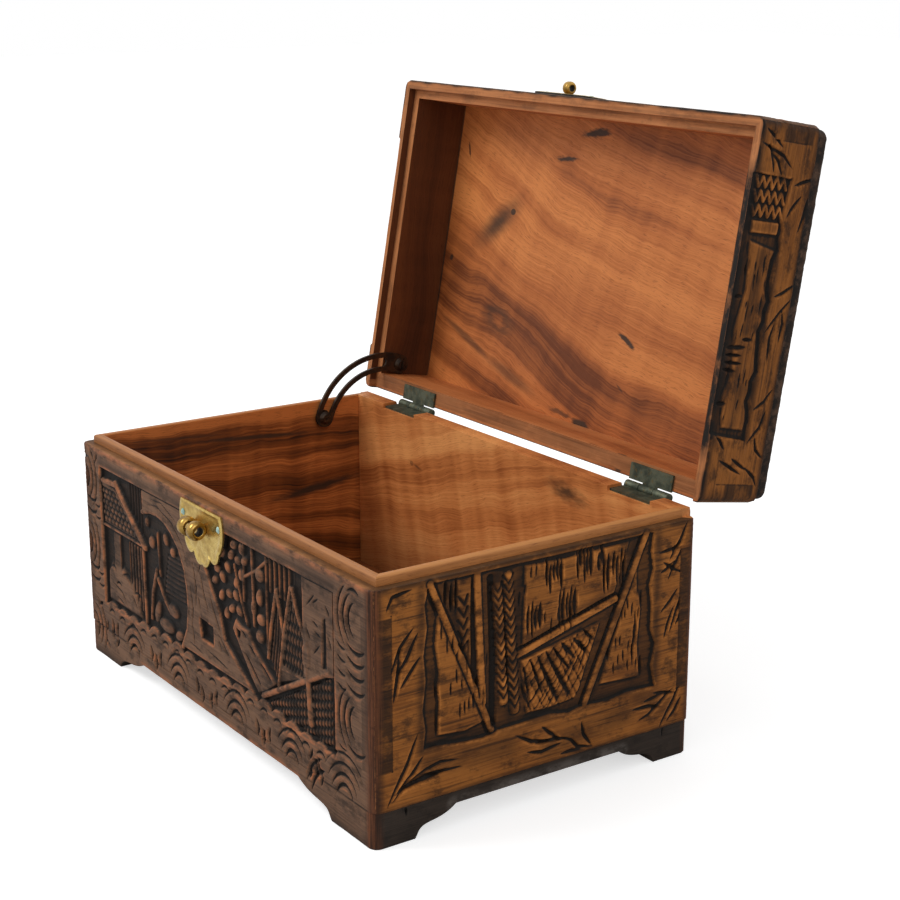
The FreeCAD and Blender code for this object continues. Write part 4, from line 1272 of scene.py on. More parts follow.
@dataclass
class EndCarving(Carving):
    """End carving: spars, ropes and a net in a shallow panel, with bamboo leaves gouged in the border."""

    depth: float = -1.5
    seed: int = 5

    def relief(self) -> Relief:
        """Carve the right end, from the plinth to the ledge.

        Returns:
            The end's height map.
        """
        r = self.r = Relief(-S.half_d, S.half_d, S.plinth_top, S.ledge_z)
        for motif in (self.panel, self.spars, self.dashes, self.leaves, self.joint_lines, self.grime):
            motif()
        r.weather(0.045)
        return r

    def panel(self) -> None:
        """Sink the panel with its ragged edge, and leave the grounds that stand in it."""
        r = self.r
        outline = [(-64, 121.6), (-66.5, 112), (-65.3, 101), (-67.2, 88), (-66, 76), (-67.8, 62),
                   (-66.2, 52), (-67.5, 43), (-58, 42.6), (-46, 41), (-34, 40.2), (-26, 41.6), (-10, 42),
                   (4, 42.4), (16, 40), (24, 41.6), (40, 40.2), (52, 42), (69.8, 41), (67, 53), (69.4, 64),
                   (66.2, 72), (66.4, 84), (64.8, 95), (67, 103), (65.4, 112), (66.5, 121.6)]
        r.plate(outline, self.depth, 0.7)
        grounds = (
            ([(-59.5, 47.5), (-60.5, 64), (-59, 78), (-61, 92), (-59.5, 108), (-57, 108), (-31.5, 48.5),
              (-44, 46)], -0.35),
            ([(-55, 120.5), (-40, 120.5), (-39.5, 84), (-40.5, 76)], -0.9),
            ([(-12, 80), (-11, 120), (10, 119), (52, 120), (46, 102), (43, 95), (16, 88)], -0.4),
            ([(-13, 74), (35, 83), (21, 47), (4, 45.5), (-9, 46)], -0.3),
            ([(34, 50), (60, 48.5), (58.5, 66), (60, 84), (57, 100), (60, 117), (57.5, 113)], -0.35),
        )
        for points, level in grounds:
            r.plate(points, level, 1.4)

    def spars(self) -> None:
        """Carve the slanting spars, the flat strip, the two ropes and the net's lines."""
        r = self.r
        for a, b in (((-63, 121), (-29, 43.5)), ((62, 121.5), (26, 43)), ((-15, 76.5), (43.5, 92))):
            r.cut([a, b], 7.5, 1.2, lens=False)
            r.bead([a, b], 3.6, -0.05)
        r.cut([(-40, 121), (-38.5, 60)], 4.0, 1.0)
        r.bead([(-37.5, 121.5), (-36, 90), (-34, 58)], 4.0, -0.05)
        r.cut([(-29.5, 117), (-28, 80), (-28, 46)], 5.0, 1.6, lens=False)
        r.cut([(-21.5, 117), (-19.5, 80), (-21, 52)], 3.4, 1.2)
        for u0, u1, top, foot in ((-26, -22, 112, 56), (-20, -15.5, 116, 50)):
            r.bead([(u0, top), (u1, foot)], 5.2, -0.2)
            for z in np.arange(foot + 2, top, 4.4):
                share = (top - z) / (top - foot)
                u = u0 + (u1 - u0) * share
                r.cut([(u - 2.6, z + 3), (u, z - 1.0), (u + 2.6, z + 3)], 1.9, 1.2, lens=False)
        for z in np.arange(86, 114, 5.6):
            r.cut([(-47.5, z + 3.4), (-45 + 0.05 * (z - 86), z - 1.0), (-42.5, z + 3.4)], 1.9, 1.1,
                  lens=False)
        down = (((-11, 71), (-7, 52)), ((-7, 73), (1, 52)), ((-3, 73.5), (11, 45)), ((2, 75), (19, 46)),
                ((6, 76), (17, 62)), ((11, 77.5), (20, 67)), ((17, 79), (29, 67)), ((24, 81), (31, 74)),
                ((-12, 62), (-6, 46)))
        up = (((-8, 50), (6, 66)), ((-2, 47), (13, 65)), ((-10, 57), (2, 71)), ((6, 50), (21, 70)),
              ((14, 56), (27, 76)), ((20, 58), (31, 80)), ((2, 45), (9, 54)))
        for n, (a, b) in enumerate(down):
            r.cut([a, b], 3.2 if n in (2, 3, 5, 6) else 2.1, 1.6)
        for a, b in up:
            r.cut([a, b], 1.5, 1.0)
        net = [(-12, 72), (33, 82), (21, 48), (4, 46.5), (-8, 47)]
        for turn in (-62, 52):
            r.hatch(net, turn, 4.6, 0.7, 0.0, 8.0)

    def dashes(self) -> None:
        """Gouge the upright dashes in groups, as clouds, rain and weathered boards."""
        r = self.r
        groups = ((2, 120, 104, 5, 2.1), (20, 121.5, 109, 5, 2.1), (-8.5, 101, 83, 4, 2.3),
                  (10, 104, 86, 5, 2.2), (36, 116, 94, 2, 2.6), (42, 117, 100, 4, 2.3),
                  (-54, 121, 106, 3, 2.6), (33, 120, 112, 2, 1.8))
        rng = np.random.default_rng(self.seed)
        for u, top, foot, count, pitch in groups:
            for x in u + pitch * np.arange(count):
                rise, drop = rng.uniform(-2, 2), rng.uniform(-6, 4)
                end = (x + rng.uniform(-0.5, 0.5), foot + drop)
                r.cut([(x, top + rise), end], rng.uniform(1.9, 2.9), 1.9)
        loose = ((-57, 100, 84, 6, 3.0), (-52, 82, 62, 8, 3.0), (-47, 66, 50, 6, 2.6),
                 (48, 104, 84, 5, 3.0), (44, 84, 66, 6, 2.8), (40, 66, 50, 7, 2.9), (-13, 117, 100, 4, 3.0),
                 (-3, 92, 84, 6, 4.0))
        for u, top, foot, count, pitch in loose:
            for x in u + pitch * np.arange(count):
                z = rng.uniform(foot, top)
                r.cut([(x, z + 4), (x + rng.uniform(-0.6, 0.6), z - rng.uniform(2, 6))], 1.3, 1.0)
        for path in ([(-60.5, 76), (-59, 64), (-59.8, 48)], [(55.5, 86), (56.5, 74), (54.5, 64), (55, 54)],
                     [(60.5, 60), (61, 48)]):
            r.cut(path, 2.0, 1.4)

    def leaves(self) -> None:
        """Gouge the bamboo leaves in the border."""
        r = self.r
        strokes = (
            [(-73, 102), (-79, 95), (-83, 86)], [(-70.5, 99), (-75, 90), (-80, 83)],
            [(-79.5, 92), (-80.5, 82), (-82.5, 72)], [(-69, 88), (-73, 83), (-78, 77)],
            [(-84.8, 93), (-85.2, 82)], [(-71, 50), (-76, 38), (-84.5, 24)],
            [(-68, 39.5), (-73, 33), (-80, 27)], [(-84, 22), (-77, 28), (-66, 33), (-58, 35), (-49, 34)],
            [(-80, 26), (-66, 30.5), (-50, 30)], [(-78, 27), (-68, 28.5), (-58, 30)],
            [(-86, 114), (-83, 119), (-75, 120.5)], [(-14, 36), (-6, 31.5), (3, 29.5)],
            [(0.5, 37), (5, 33), (10, 29)], [(-2, 29.5), (8, 29), (14, 28)],
            [(13, 28.5), (18, 26), (22, 21.5), (29, 20)], [(24, 33), (25.5, 27), (29.5, 21.5)],
            [(-8, 26.5), (0, 24.5), (10, 26)], [(12, 20.5), (18, 20.5), (24, 19.5)],
            [(57, 32), (66, 31.5), (72, 30)], [(60, 25.5), (66, 27), (72, 31), (80, 36.5)],
            [(64, 34.5), (72, 35.5)], [(70, 37.5), (80, 35.5)], [(86, 39), (82, 31), (75, 21)],
            [(86.5, 31), (83, 25), (79, 21.5)], [(87, 122), (84, 115), (78, 107)],
            [(84, 109), (81, 103), (77, 97)], [(71, 110), (79, 110.5), (84, 113)],
            [(87, 90), (83, 80), (79, 70)], [(82, 89), (78, 84), (73, 80)],
            [(88.5, 83), (86, 77), (82.5, 72)], [(80, 80), (77, 73), (75, 67)],
            [(84, 98), (80, 100), (74, 104)], [(80, 104), (76, 101), (72, 100)],
        )
        r.leaves(strokes, (0.25, 0.35), 2.8, 1.6)

    def grime(self) -> None:
        """Rub dark stain round the panel, under the ledge, along the foot and into the corner strips."""
        r = self.r
        r.smear([(-68, 121), (-68, 43), (69, 43), (69, 121)], 5.0, 0.75)
        r.smear([(-S.half_d, S.ledge_z), (S.half_d, S.ledge_z)], 4.0, 0.85)
        r.smear([(-S.half_d, S.plinth_top), (S.half_d, S.plinth_top)], 3.5, 0.7)
        for path in ([(-26, 118), (-30, 44)], [(-12, 118), (-18, 46)], [(-52, 118), (-44, 80)],
                     [(56, 118), (30, 44)]):
            r.smear(path, 5.5, 0.7)
        r.smear([(-10, 82), (42, 97)], 4.0, 0.6)
        for path in ([(-64, 36), (-20, 33)], [(4, 26), (50, 31)], [(60, 38), (78, 30)]):
            r.smear(path, 11.0, 0.55)
        for sign in (-1, 1):
            edge, end = sign * (S.half_d - S.wall), sign * S.half_d
            r.patch(rect(edge, end, 37, 110), 0.85)
            r.smear([(end, S.plinth_top), (end, S.ledge_z)], 8.0, 0.85)

    def joint_lines(self) -> None:
        """Scribe the corner fingers' edges, and a shrinkage crack across each."""
        r = self.r
        foot, head = S.plinth_top + 19.0, S.lip_top - 17.0
        for sign in (-1, 1):
            edge = sign * (S.half_d - S.wall)
            end = sign * S.half_d
            r.cut([(edge, foot), (edge, head)], 0.8, 0.5, lens=False)
            for z in (foot, head):
                r.cut([(edge, z), (end, z)], 0.7, 0.5, lens=False)
            r.cut([(sign * (S.half_d - 8.6), 71 + sign), (end, 70)], 0.9, 0.7, lens=False)
            r.plate(rect(edge, end, foot, head), -0.15, 0.3)


@dataclass
class LidSideCarving(Carving):
    """Lid side carving: a narrow ragged strip with upright marks, and bamboo leaves above it."""

    depth: float = -1.5
    seed: int = 11

    def relief(self) -> Relief:
        """Carve a lid side, from its rim to the top board.

        Returns:
            The side's height map.
        """
        r = self.r = Relief(-S.half_d, S.half_d, S.lid_rim, S.rail_top)
        self.strip()
        self.marks()
        strokes = (
            [(-72, 147), (-77, 141), (-81, 128)], [(-67, 142), (-74, 138), (-80, 131)],
            [(-68.5, 136), (-74, 134.5), (-81, 131)], [(-81, 139), (-85, 134), (-88, 128)],
            [(-58, 161.5), (-50, 161), (-43, 159)], [(-68, 163), (-66, 157), (-64, 152)],
            [(-59, 157), (-54, 153), (-49, 150)], [(-16, 162), (-12, 156), (-10, 151)],
            [(-9, 162), (-2, 156), (7, 149)], [(-3, 158), (3, 159.4), (11, 158.6)],
            [(3, 154), (10, 152.4), (20, 153)], [(76, 151), (73, 145), (71, 141)],
            [(78, 147), (74, 138), (72, 133)], [(84, 160), (80, 158), (76, 152)],
            [(66, 134), (62, 131), (60, 128)], [(47, 158), (55, 156), (62, 150)],
            [(36, 160), (42, 156), (46, 150)], [(70, 161), (66, 156), (60, 154)],
        )
        r.leaves(strokes, (0.2, 0.3), 2.5, 1.5)
        foot, head = S.lid_rim + 9.0, S.rail_top - 8.0
        for sign in (-1, 1):
            edge, end = sign * (S.half_d - S.wall), sign * S.half_d
            r.plate(rect(edge, end, foot, head), -0.2, 0.3)
            r.cut([(edge, foot), (edge, head)], 0.8, 0.5, lens=False)
            r.patch(rect(edge, end, foot + 6, head + 4), 0.8)
            r.smear([(end, S.lid_rim), (end, S.rail_top)], 9.0, 0.95)
        for z, reach in ((S.lid_rim, 5.0), (S.rail_top, 4.0)):
            r.smear([(-S.half_d, z), (S.half_d, z)], reach, 1.0)
        r.weather(0.05)
        return r

    def strip(self) -> None:
        """Sink the ragged strip that runs out through the rim, and leave worn ground standing in it."""
        r = self.r
        wave = [(62 - 4.95 * n, 147.2 + 1.1 * math.sin(1.05 * n) + 0.8 * math.sin(2.7 * n + 1))
                for n in range(27)]
        r.plate([(-68, 120), (58.5, 120), (60, 128)] + wave + [(-67, 148)], self.depth, 0.7)
        ground = [(u, v - 2.2) for u, v in wave if -36 < u < 58]
        r.plate(ground + [(-36, 128), (-12, 130.6), (8, 127.4), (28, 131), (40, 127), (56, 130)], -0.55,
                1.2)
        r.cut(wave, 2.0, 0.8, lens=False)
        r.plate(rect(-45.5, -39, 127.4, 145.6), -0.1, 0.8)
        r.smear([(-66, 124), (62, 124)], 9.0, 1.0)
        r.smear([(-36, 147), (60, 147)], 4.5, 0.85)
        for path in ([(-30, 138), (8, 136)], [(14, 134), (30, 134)], [(36, 139), (56, 137)]):
            r.smear(path, 5.0, 0.6)
        for turn in (34, -38):
            r.hatch(rect(-78, 78, 150, 162), turn, 1.9, 0.12, 0.0, 3.0)

    def marks(self) -> None:
        """Leave three crooked zigzags standing at one end of the strip, and gouge spikes across the rest."""
        r = self.r
        rng = np.random.default_rng(self.seed)
        for row in (-66.0, -59.2, -52.4):
            zigzag = [(row + 4.9 * (n % 2) + rng.uniform(-0.3, 0.3), 125.6 + 2.3 * n) for n in range(10)]
            r.bead(zigzag, 1.6, -0.1, 0.5)
        for u, foot, top in ((12, 134, 141), (16.5, 125, 138), (20, 125, 136), (23.5, 125, 137),
                             (27, 125, 134), (-8, 125, 130), (44, 125, 131)):
            r.cut([(u, foot), (u + rng.uniform(-1, 1), top)], rng.uniform(2.0, 3.0), 1.5)
        for _ in range(26):
            u, v = rng.uniform(-32, 48), rng.uniform(129, 143)
            r.cut([(u, v), (u + rng.uniform(4, 12), v + rng.uniform(-1, 1))], 1.5, 0.7)


@dataclass
class LidFrontCarving(Carving):
    """Lid front carving: a running band of clouds in a shallow field, plain round the clasp."""

    def relief(self) -> Relief:
        """Carve the lid's front, from its rim to the top board.

        Returns:
            The front's height map.
        """
        r = self.r = Relief(-S.half_w, S.half_w, S.lid_rim, S.rail_top)
        r.plate(rect(-130, 130, 131, 158), -1.8, 0.8)
        for n, x in enumerate(np.arange(-118, 121, 18.0)):
            z = 138 if n % 2 else 150
            r.dome((x, z), (11.5, 9), -1.5, 1.4)
            self.scroll((x, z - 2), (4.2, 7.6), 10, 168)
        for x in np.arange(-109, 112, 18.0):
            r.dome((x, 144.5), (5.5, 6.5), -1.7, 1.2)
            r.arc((x, 143), 3.0, 20, 160, 1.6, 0.9)
        for sign in (-1, 1):
            self.scroll((sign * 144, 144), (4.5, 8.0), 90 - sign * 70, 90 - sign * 70 - sign * 320)
        r.plate([(-32, 124), (20, 124), (20, 150), (10, 157), (-22, 157), (-32, 150)], 0.0, 0.8)
        r.weather(0.04)
        return r


@dataclass
class LidTopCarving(FrontCarving):
    """Lid's top: the front's gate, tree, sails and net, larger and the other way round, inside waves."""

    margin: float = 22.0
    scene_start: float = -75.5
    scene_end: float = 119.5
    scene_foot: float = 36.0
    clouds: int = 9

    def relief(self) -> Relief:
        """Carve the lid's top.

        Returns:
            The top's height map; v runs from the lid's front to its back.
        """
        half_u, half_v = S.half_w - S.top_inset, S.half_d - S.top_inset
        r = self.r = Relief(-half_u, half_u, -half_v, half_v)
        u, v = half_u - self.margin, half_v - self.margin
        r.plate(rect(-u, u, -v, v), self.ground, 0.8)
        scale = 2 * u / (self.scene_end - self.scene_start)
        r.set_out((u + scale * self.scene_start, -v - scale * self.scene_foot), scale, -1)
        for motif in (self.moon_gate, self.tree, self.sails, self.net):
            motif()
        r.set_out()
        for x in (np.arange(self.clouds) + 0.5) * 2 * u / self.clouds - u:
            r.dome((x, v - 12), (13.5, 9), -2.2, 1.9)
            self.scroll((x, v - 14), (4.5, 8.0), 12, 168)
        step = 15.0
        for sign in (-1, 1):
            for x in np.arange(-half_u + 24, half_u - 20, step):
                r.dome((x, sign * (v - 0.5)), (8, 5.5), -0.9, 0.85)
                self.scroll((x, sign * (v + 9) - 3.5), (4.0, 7.4), 12, 168)
            for y in np.arange(-half_v + 26, half_v - 20, step):
                r.dome((sign * (u - 0.5), y), (5.5, 8), -0.9, 0.85)
                self.scroll((sign * (u + 11), y), (4.0, 7.4), 90 - sign * 20, 90 + sign * 160)
            for other in (-1, 1):
                self.scroll((sign * (half_u - 12), other * (half_v - 12)), (3.4, 6.6), 0, 340)
        r.weather(0.04)
        return r


def settle(piece: Object, body: Body, slot: str, *nodes: str) -> None:
    """Let a piece stand for its solids.

    Args:
        piece: Piece, already in place.
        body: Body that it moves with.
        slot: Material slot of the record, not used.
        *nodes: Solids that it stands for.
    """
    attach(piece, body.value)
    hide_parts(*nodes)
    LOG.info("%s: %d faces, on %s", piece.name, len(piece.data.polygons), body.value)


def dress(finish: Finish, *nodes: str) -> None:
    """Give solids that stay as they are a finish.

    Args:
        finish: Finish.
        *nodes: Solids' names.
    """
    for node in nodes:
        for place in frame["nodes"][node].material_slots:
            place.material = finish.material()
        LOG.info("%s: solid with %s", node, finish.name)


def foot_arch(half_span: float, flat: float, curve: float, height: float) -> Edge:
    """Underside of a plinth: level feet that sweep up in an ogee to a level apron.

    Args:
        half_span: Half the plinth's length.
        flat: Length of each foot's level underside.
        curve: Length of the ogee.
        height: Height of the apron's underside.

    Returns:
        A function that gives the underside's height along the plinth.
    """
    share = np.linspace(0, 1, 25)[:, None]
    poles = np.array([(1.0, 0.0), (0.9, 0.85), (0.45, 0.3), (0.0, 1.0)])
    bend = ((1 - share) ** 3 * poles[0] + 3 * (1 - share) ** 2 * share * poles[1]
            + 3 * (1 - share) * share ** 2 * poles[2] + share ** 3 * poles[3])
    start = half_span - flat
    along = (start - curve + curve * bend[:, 0])[::-1]
    up = (height * bend[:, 1])[::-1]
    return lambda us, t: np.interp(np.abs(us), along, up, left=height, right=0.0)


def level(height: float) -> Edge:
    """Edge of a board at one height all along."""
    return lambda us, t: np.full_like(us, height)


class Palette:
    """Finishes shared by the sub-assemblies, with colours as on a screen."""

    front = CarvedStain("front_stain", (94, 70, 55), (124, 92, 70), (176, 108, 68), (13, 11, 10),
                        depth=(0.4, 2.1), deepness=0.9, grime=0.6, vein=0.3)
    end = CarvedStain("end_stain", (120, 70, 29), (162, 100, 43), (198, 124, 57), (18, 16, 14),
                      depth=(0.3, 1.5), deepness=0.72, grime=0.7, vein=0.6)
    lid_side = CarvedStain("lid_side_stain", (112, 66, 28), (150, 92, 40), (182, 114, 54), (18, 16, 15),
                           depth=(0.3, 1.5), deepness=0.74, grime=0.7, vein=0.55)
    back = CarvedStain("back_stain", (96, 66, 44), (122, 86, 58), (156, 104, 68), (40, 30, 24), streak=0.7,
                       grime=0.3)
    plinth = CarvedStain("plinth_stain", (42, 35, 30), (58, 48, 41), (96, 88, 82), (14, 12, 11), grime=0.4)
    rim = CarvedStain("rim_oil", (164, 102, 60), (196, 128, 80), (204, 140, 92), (34, 29, 26), grime=0.3)
    ledge = CarvedStain("ledge_stain", (122, 82, 48), (152, 104, 62), (176, 118, 70), (40, 28, 20),
                        grime=0.55)
    inside = OiledWood(
        "inside_oil", (240, 166, 98), (208, 130, 70), (148, 78, 34), turn=13, contrast=1.35, curl=0.16,
        knots_and_shade=(KnotOrShade(78, 97, 16, 3, 12, 0.6, 0, 0.3, 1.3), KnotOrShade(84, 98, 5, 4, 0, 0.5),
               # The last patch, wide and soft low on the back wall, is painted shade, darker towards the
               # bottom.
               KnotOrShade(-62, 116, 50, 16, 8, 0.9, 0, 0.6, 1.1), KnotOrShade(96, 18, 230, 84, 0, 0.5, 0, 1.0, 0.2)))
    # Darker inside wood, partly the wood's own darker tone and mostly painted shade, for the left end's
    # inside and the lid's right rail.
    shaded_inside = OiledWood(
        "end_inside_painted_shade_oil", (204, 122, 60), (134, 73, 30), (44, 21, 8), turn=-5, contrast=1.9,
        knots_and_shade=(KnotOrShade(-12, 112, 120, 4, 4, 0.85, 0, 0.3), KnotOrShade(-52, 74, 90, 8, -6, 0.95, 0, 0.4),
               KnotOrShade(40, 119, 90, 2.2, 4, 0.6, 0, 0.3), KnotOrShade(20, 60, 90, 6, 5, 0.6, 0, 0.6)))
    # Painted shade: a dark copy of the inside wood for the lid's left rail.
    shadowed = OiledWood("lid_end_inside_oil", (104, 58, 28), (82, 43, 20), (50, 25, 12))
    lid_panel = OiledWood(
        "lid_panel_oil", (218, 135, 72), (184, 105, 52), (112, 57, 25), turn=-14, contrast=1.4,
        knots_and_shade=(KnotOrShade(-78, 38, 44, 22, 12, 0.8, 6, 0.5, 0.9, True),
               KnotOrShade(-92, -18, 50, 17, -38, 0.9, 0, 1.0, 0.4), KnotOrShade(-79, -26, 5, 4, 0, 0.95, 0, 0, 0.3),
               KnotOrShade(38, 31, 27, 5, 24, 0.95, 0, 0, 1.2), KnotOrShade(-36, -61, 44, 8, -6, 0.95, 0, 0, 1.5),
               KnotOrShade(-14, -77, 44, 11, -10, 0.95, 0, 0, 1.4), KnotOrShade(10, 83, 24, 8, 8, 0.95, 0, 0, 1.0),
               KnotOrShade(-8, 80, 40, 6, 4, 0.7, 0, 0, 1.4), KnotOrShade(-106, 54, 60, 5, 19, 0.6, 0, 0.6, 0.3),
               KnotOrShade(-60, 68, 54, 8, 15, 0.55, 0, 0.8, 0.3), KnotOrShade(-131, -58, 12, 2.4, 70, 0.85),
               KnotOrShade(-134, 8, 5, 5, 0, 0.9), KnotOrShade(38, 57, 10, 2, 30, 0.6),
               KnotOrShade(-142, 0, 1.8, 200, 0, 0.9, 0, 0.2, 0.2)))
    lip = OiledWood("lip_oil", (182, 124, 72), (158, 102, 56), (112, 68, 34), figure=0.3)
    end_lip = OiledWood("end_lip_oil", (212, 146, 86), (188, 122, 66), (128, 78, 38), figure=0.3,
                        rubbed=(204, 140, 82))
    rail = OiledWood(
        "rail_oil", (204, 130, 76), (180, 106, 56), (132, 70, 32), turn=-6, contrast=1.3,
        knots_and_shade=(KnotOrShade(-86, 129, 12, 5, 0, 0.9, 0, 0, 1.3), KnotOrShade(-62, 130, 20, 2, 4, 0.8, 0, 0, 1.3),
               KnotOrShade(24, 129.5, 26, 2.4, -4, 0.8, 0, 0, 1.3)))
    floor = OiledWood("floor_oil", (186, 116, 66), (150, 86, 44), (96, 50, 26), source=Grain.OBJECT)
    hinge = AgedBrass("hinge_patina", (96, 100, 82), (58, 63, 52), (120, 92, 40), 0.6, 0.75, (0.4, 0.65))
    stay = AgedBrass("stay_patina", (70, 54, 40), (40, 31, 25), (22, 18, 16), 0.6, 0.7, (0.38, 0.6))
    eye = AgedBrass("eye_brass", (190, 152, 80), (124, 94, 46), (58, 42, 22), 0.5, 0.95, (0.16, 0.34))
    # Near-black brass that paints the shade in the eyes' bores and along the edge and back of the lid's
    # plate.
    painted_shade_brass = AgedBrass("brass_painted_shade", (34, 26, 17), (20, 16, 12), (12, 10, 9), 0.5, 0.2, (0.7, 0.9))
    clasp = AgedBrass("clasp_brass", (222, 192, 112), (186, 152, 78), (112, 84, 40), 0.35, 0.9,
                      (0.24, 0.45))
    nail = AgedBrass("nail_verdigris", (176, 206, 198), (120, 158, 150), (70, 90, 78), 0.5, 0.2,
                     (0.5, 0.75))


@dataclass
class BoxShell:
    """The box: four boards with a rebated rim, and a bracket plinth under each."""

    palette: Palette
    plinth_depth: float = 14.0
    plinth_inset: float = 1.0
    inner_round: float = 1.0
    mortise_half: float = 16.4
    mortise_floor: float = 125.3
    hinges: Point = (-98.0, 112.0)

    def rim(self, us: Array, t: Array) -> Array:
        """Height of the rebated rim: a ledge outside, and a lip with rounded edges inside.

        Args:
            us: Places along the board, not used.
            t: Depths from the outer face.

        Returns:
            The heights.
        """
        into = t - S.ledge
        near = np.clip(S.lip_round - into, 0, S.lip_round)
        far = np.clip(t - (S.wall - self.inner_round), 0, self.inner_round)
        drop = S.lip_round - np.sqrt(S.lip_round ** 2 - near ** 2)
        drop += self.inner_round - np.sqrt(self.inner_round ** 2 - far ** 2)
        return np.where(into > 0, S.lip_top - drop, S.ledge_z)

    def back_rim(self, us: Array, t: Array) -> Array:
        """Height of the back's rim, with a mortise for each hinge; the board runs from right to left."""
        mortised = np.any([np.abs(us + x) < self.mortise_half for x in self.hinges], 0)
        plain = np.where(S.half_w - np.abs(us) > S.ledge, S.lip_top, S.ledge_z)
        return np.where(mortised, self.mortise_floor, plain)

    def build(self) -> None:
        """Build the boards and the plinths."""
        p = self.palette
        front, end = FrontCarving().relief(), EndCarving().relief()
        lip = [S.ledge + d for d in (-0.001, 0.001, 0.12, 0.45, 0.95, 1.5)]
        lip += [S.wall - d for d in (1.0, 0.6, 0.25, 0.06, 0.0)]
        mortises = [-x + sign * self.mortise_half for x in self.hinges for sign in (-1, 1)]
        boards = (
            ("front", Side.FRONT, self.rim, lip, 0.62, front, (), (p.front, p.lip, p.ledge)),
            ("back", Side.BACK, self.back_rim, [S.wall], 2.0, None, mortises, (p.back, p.inside)),
            ("right_end", Side.RIGHT, self.rim, lip, 0.55, end, (), (p.end, p.end_lip, p.ledge)),
            ("left_end", Side.LEFT, self.rim, lip, 0.55, end, (), (p.end, p.shaded_inside, p.ledge)),
        )
        for name, side, rim, stops, step, relief, breaks, finishes in boards:
            board = Board(f"{name}_carved", side, S.wall, level(S.plinth_top), rim, [S.wall], stops,
                          (step, step), relief, breaks=breaks, stained_rim=int(rim == self.rim))
            settle(board.build(finishes), Body.BOX, "carved_wood", f"{name}_board")
        self.plinths(front)
        dress(p.floor, "bottom_board")

    def plinths(self, front: Relief) -> None:
        """Build the plinth's four boards, with dust and a crack on those at the ends.

        Args:
            front: Carving of the front, which runs on over its plinth.
        """
        p = self.palette
        dust = Relief(-S.half_d, S.half_d, 0.0, S.plinth_top)
        dust.smear([(-50, 12), (50, 12)], 7.0, 0.5, True)
        for sign in (-1, 1):
            dust.cut([(sign * 76.5, S.plinth_top), (sign * 76, 13)], 1.4, 1.3)
        side_depth = self.plinth_depth - self.plinth_inset
        long_arch, short_arch = foot_arch(S.half_w, 38, 30, 11), foot_arch(S.half_d, 23, 22, 11.5)
        plinths = (
            ("front", Side.FRONT, self.plinth_depth, long_arch, 0.7, front, p.front),
            ("back", Side.BACK, self.plinth_depth, long_arch, 1.5, None, p.plinth),
            ("right", Side.RIGHT, side_depth, short_arch, 0.7, dust, p.plinth),
            ("left", Side.LEFT, side_depth, short_arch, 0.7, dust, p.plinth),
        )
        for name, side, depth, arch, step, relief, stain in plinths:
            board = Board(f"{name}_plinth", side, depth, arch, level(S.plinth_top), [depth], [depth],
                          (step, step), relief, inset_x=self.plinth_inset)
            settle(board.build((stain, p.plinth)), Body.BOX, "dark_wood", f"plinth_{name}")


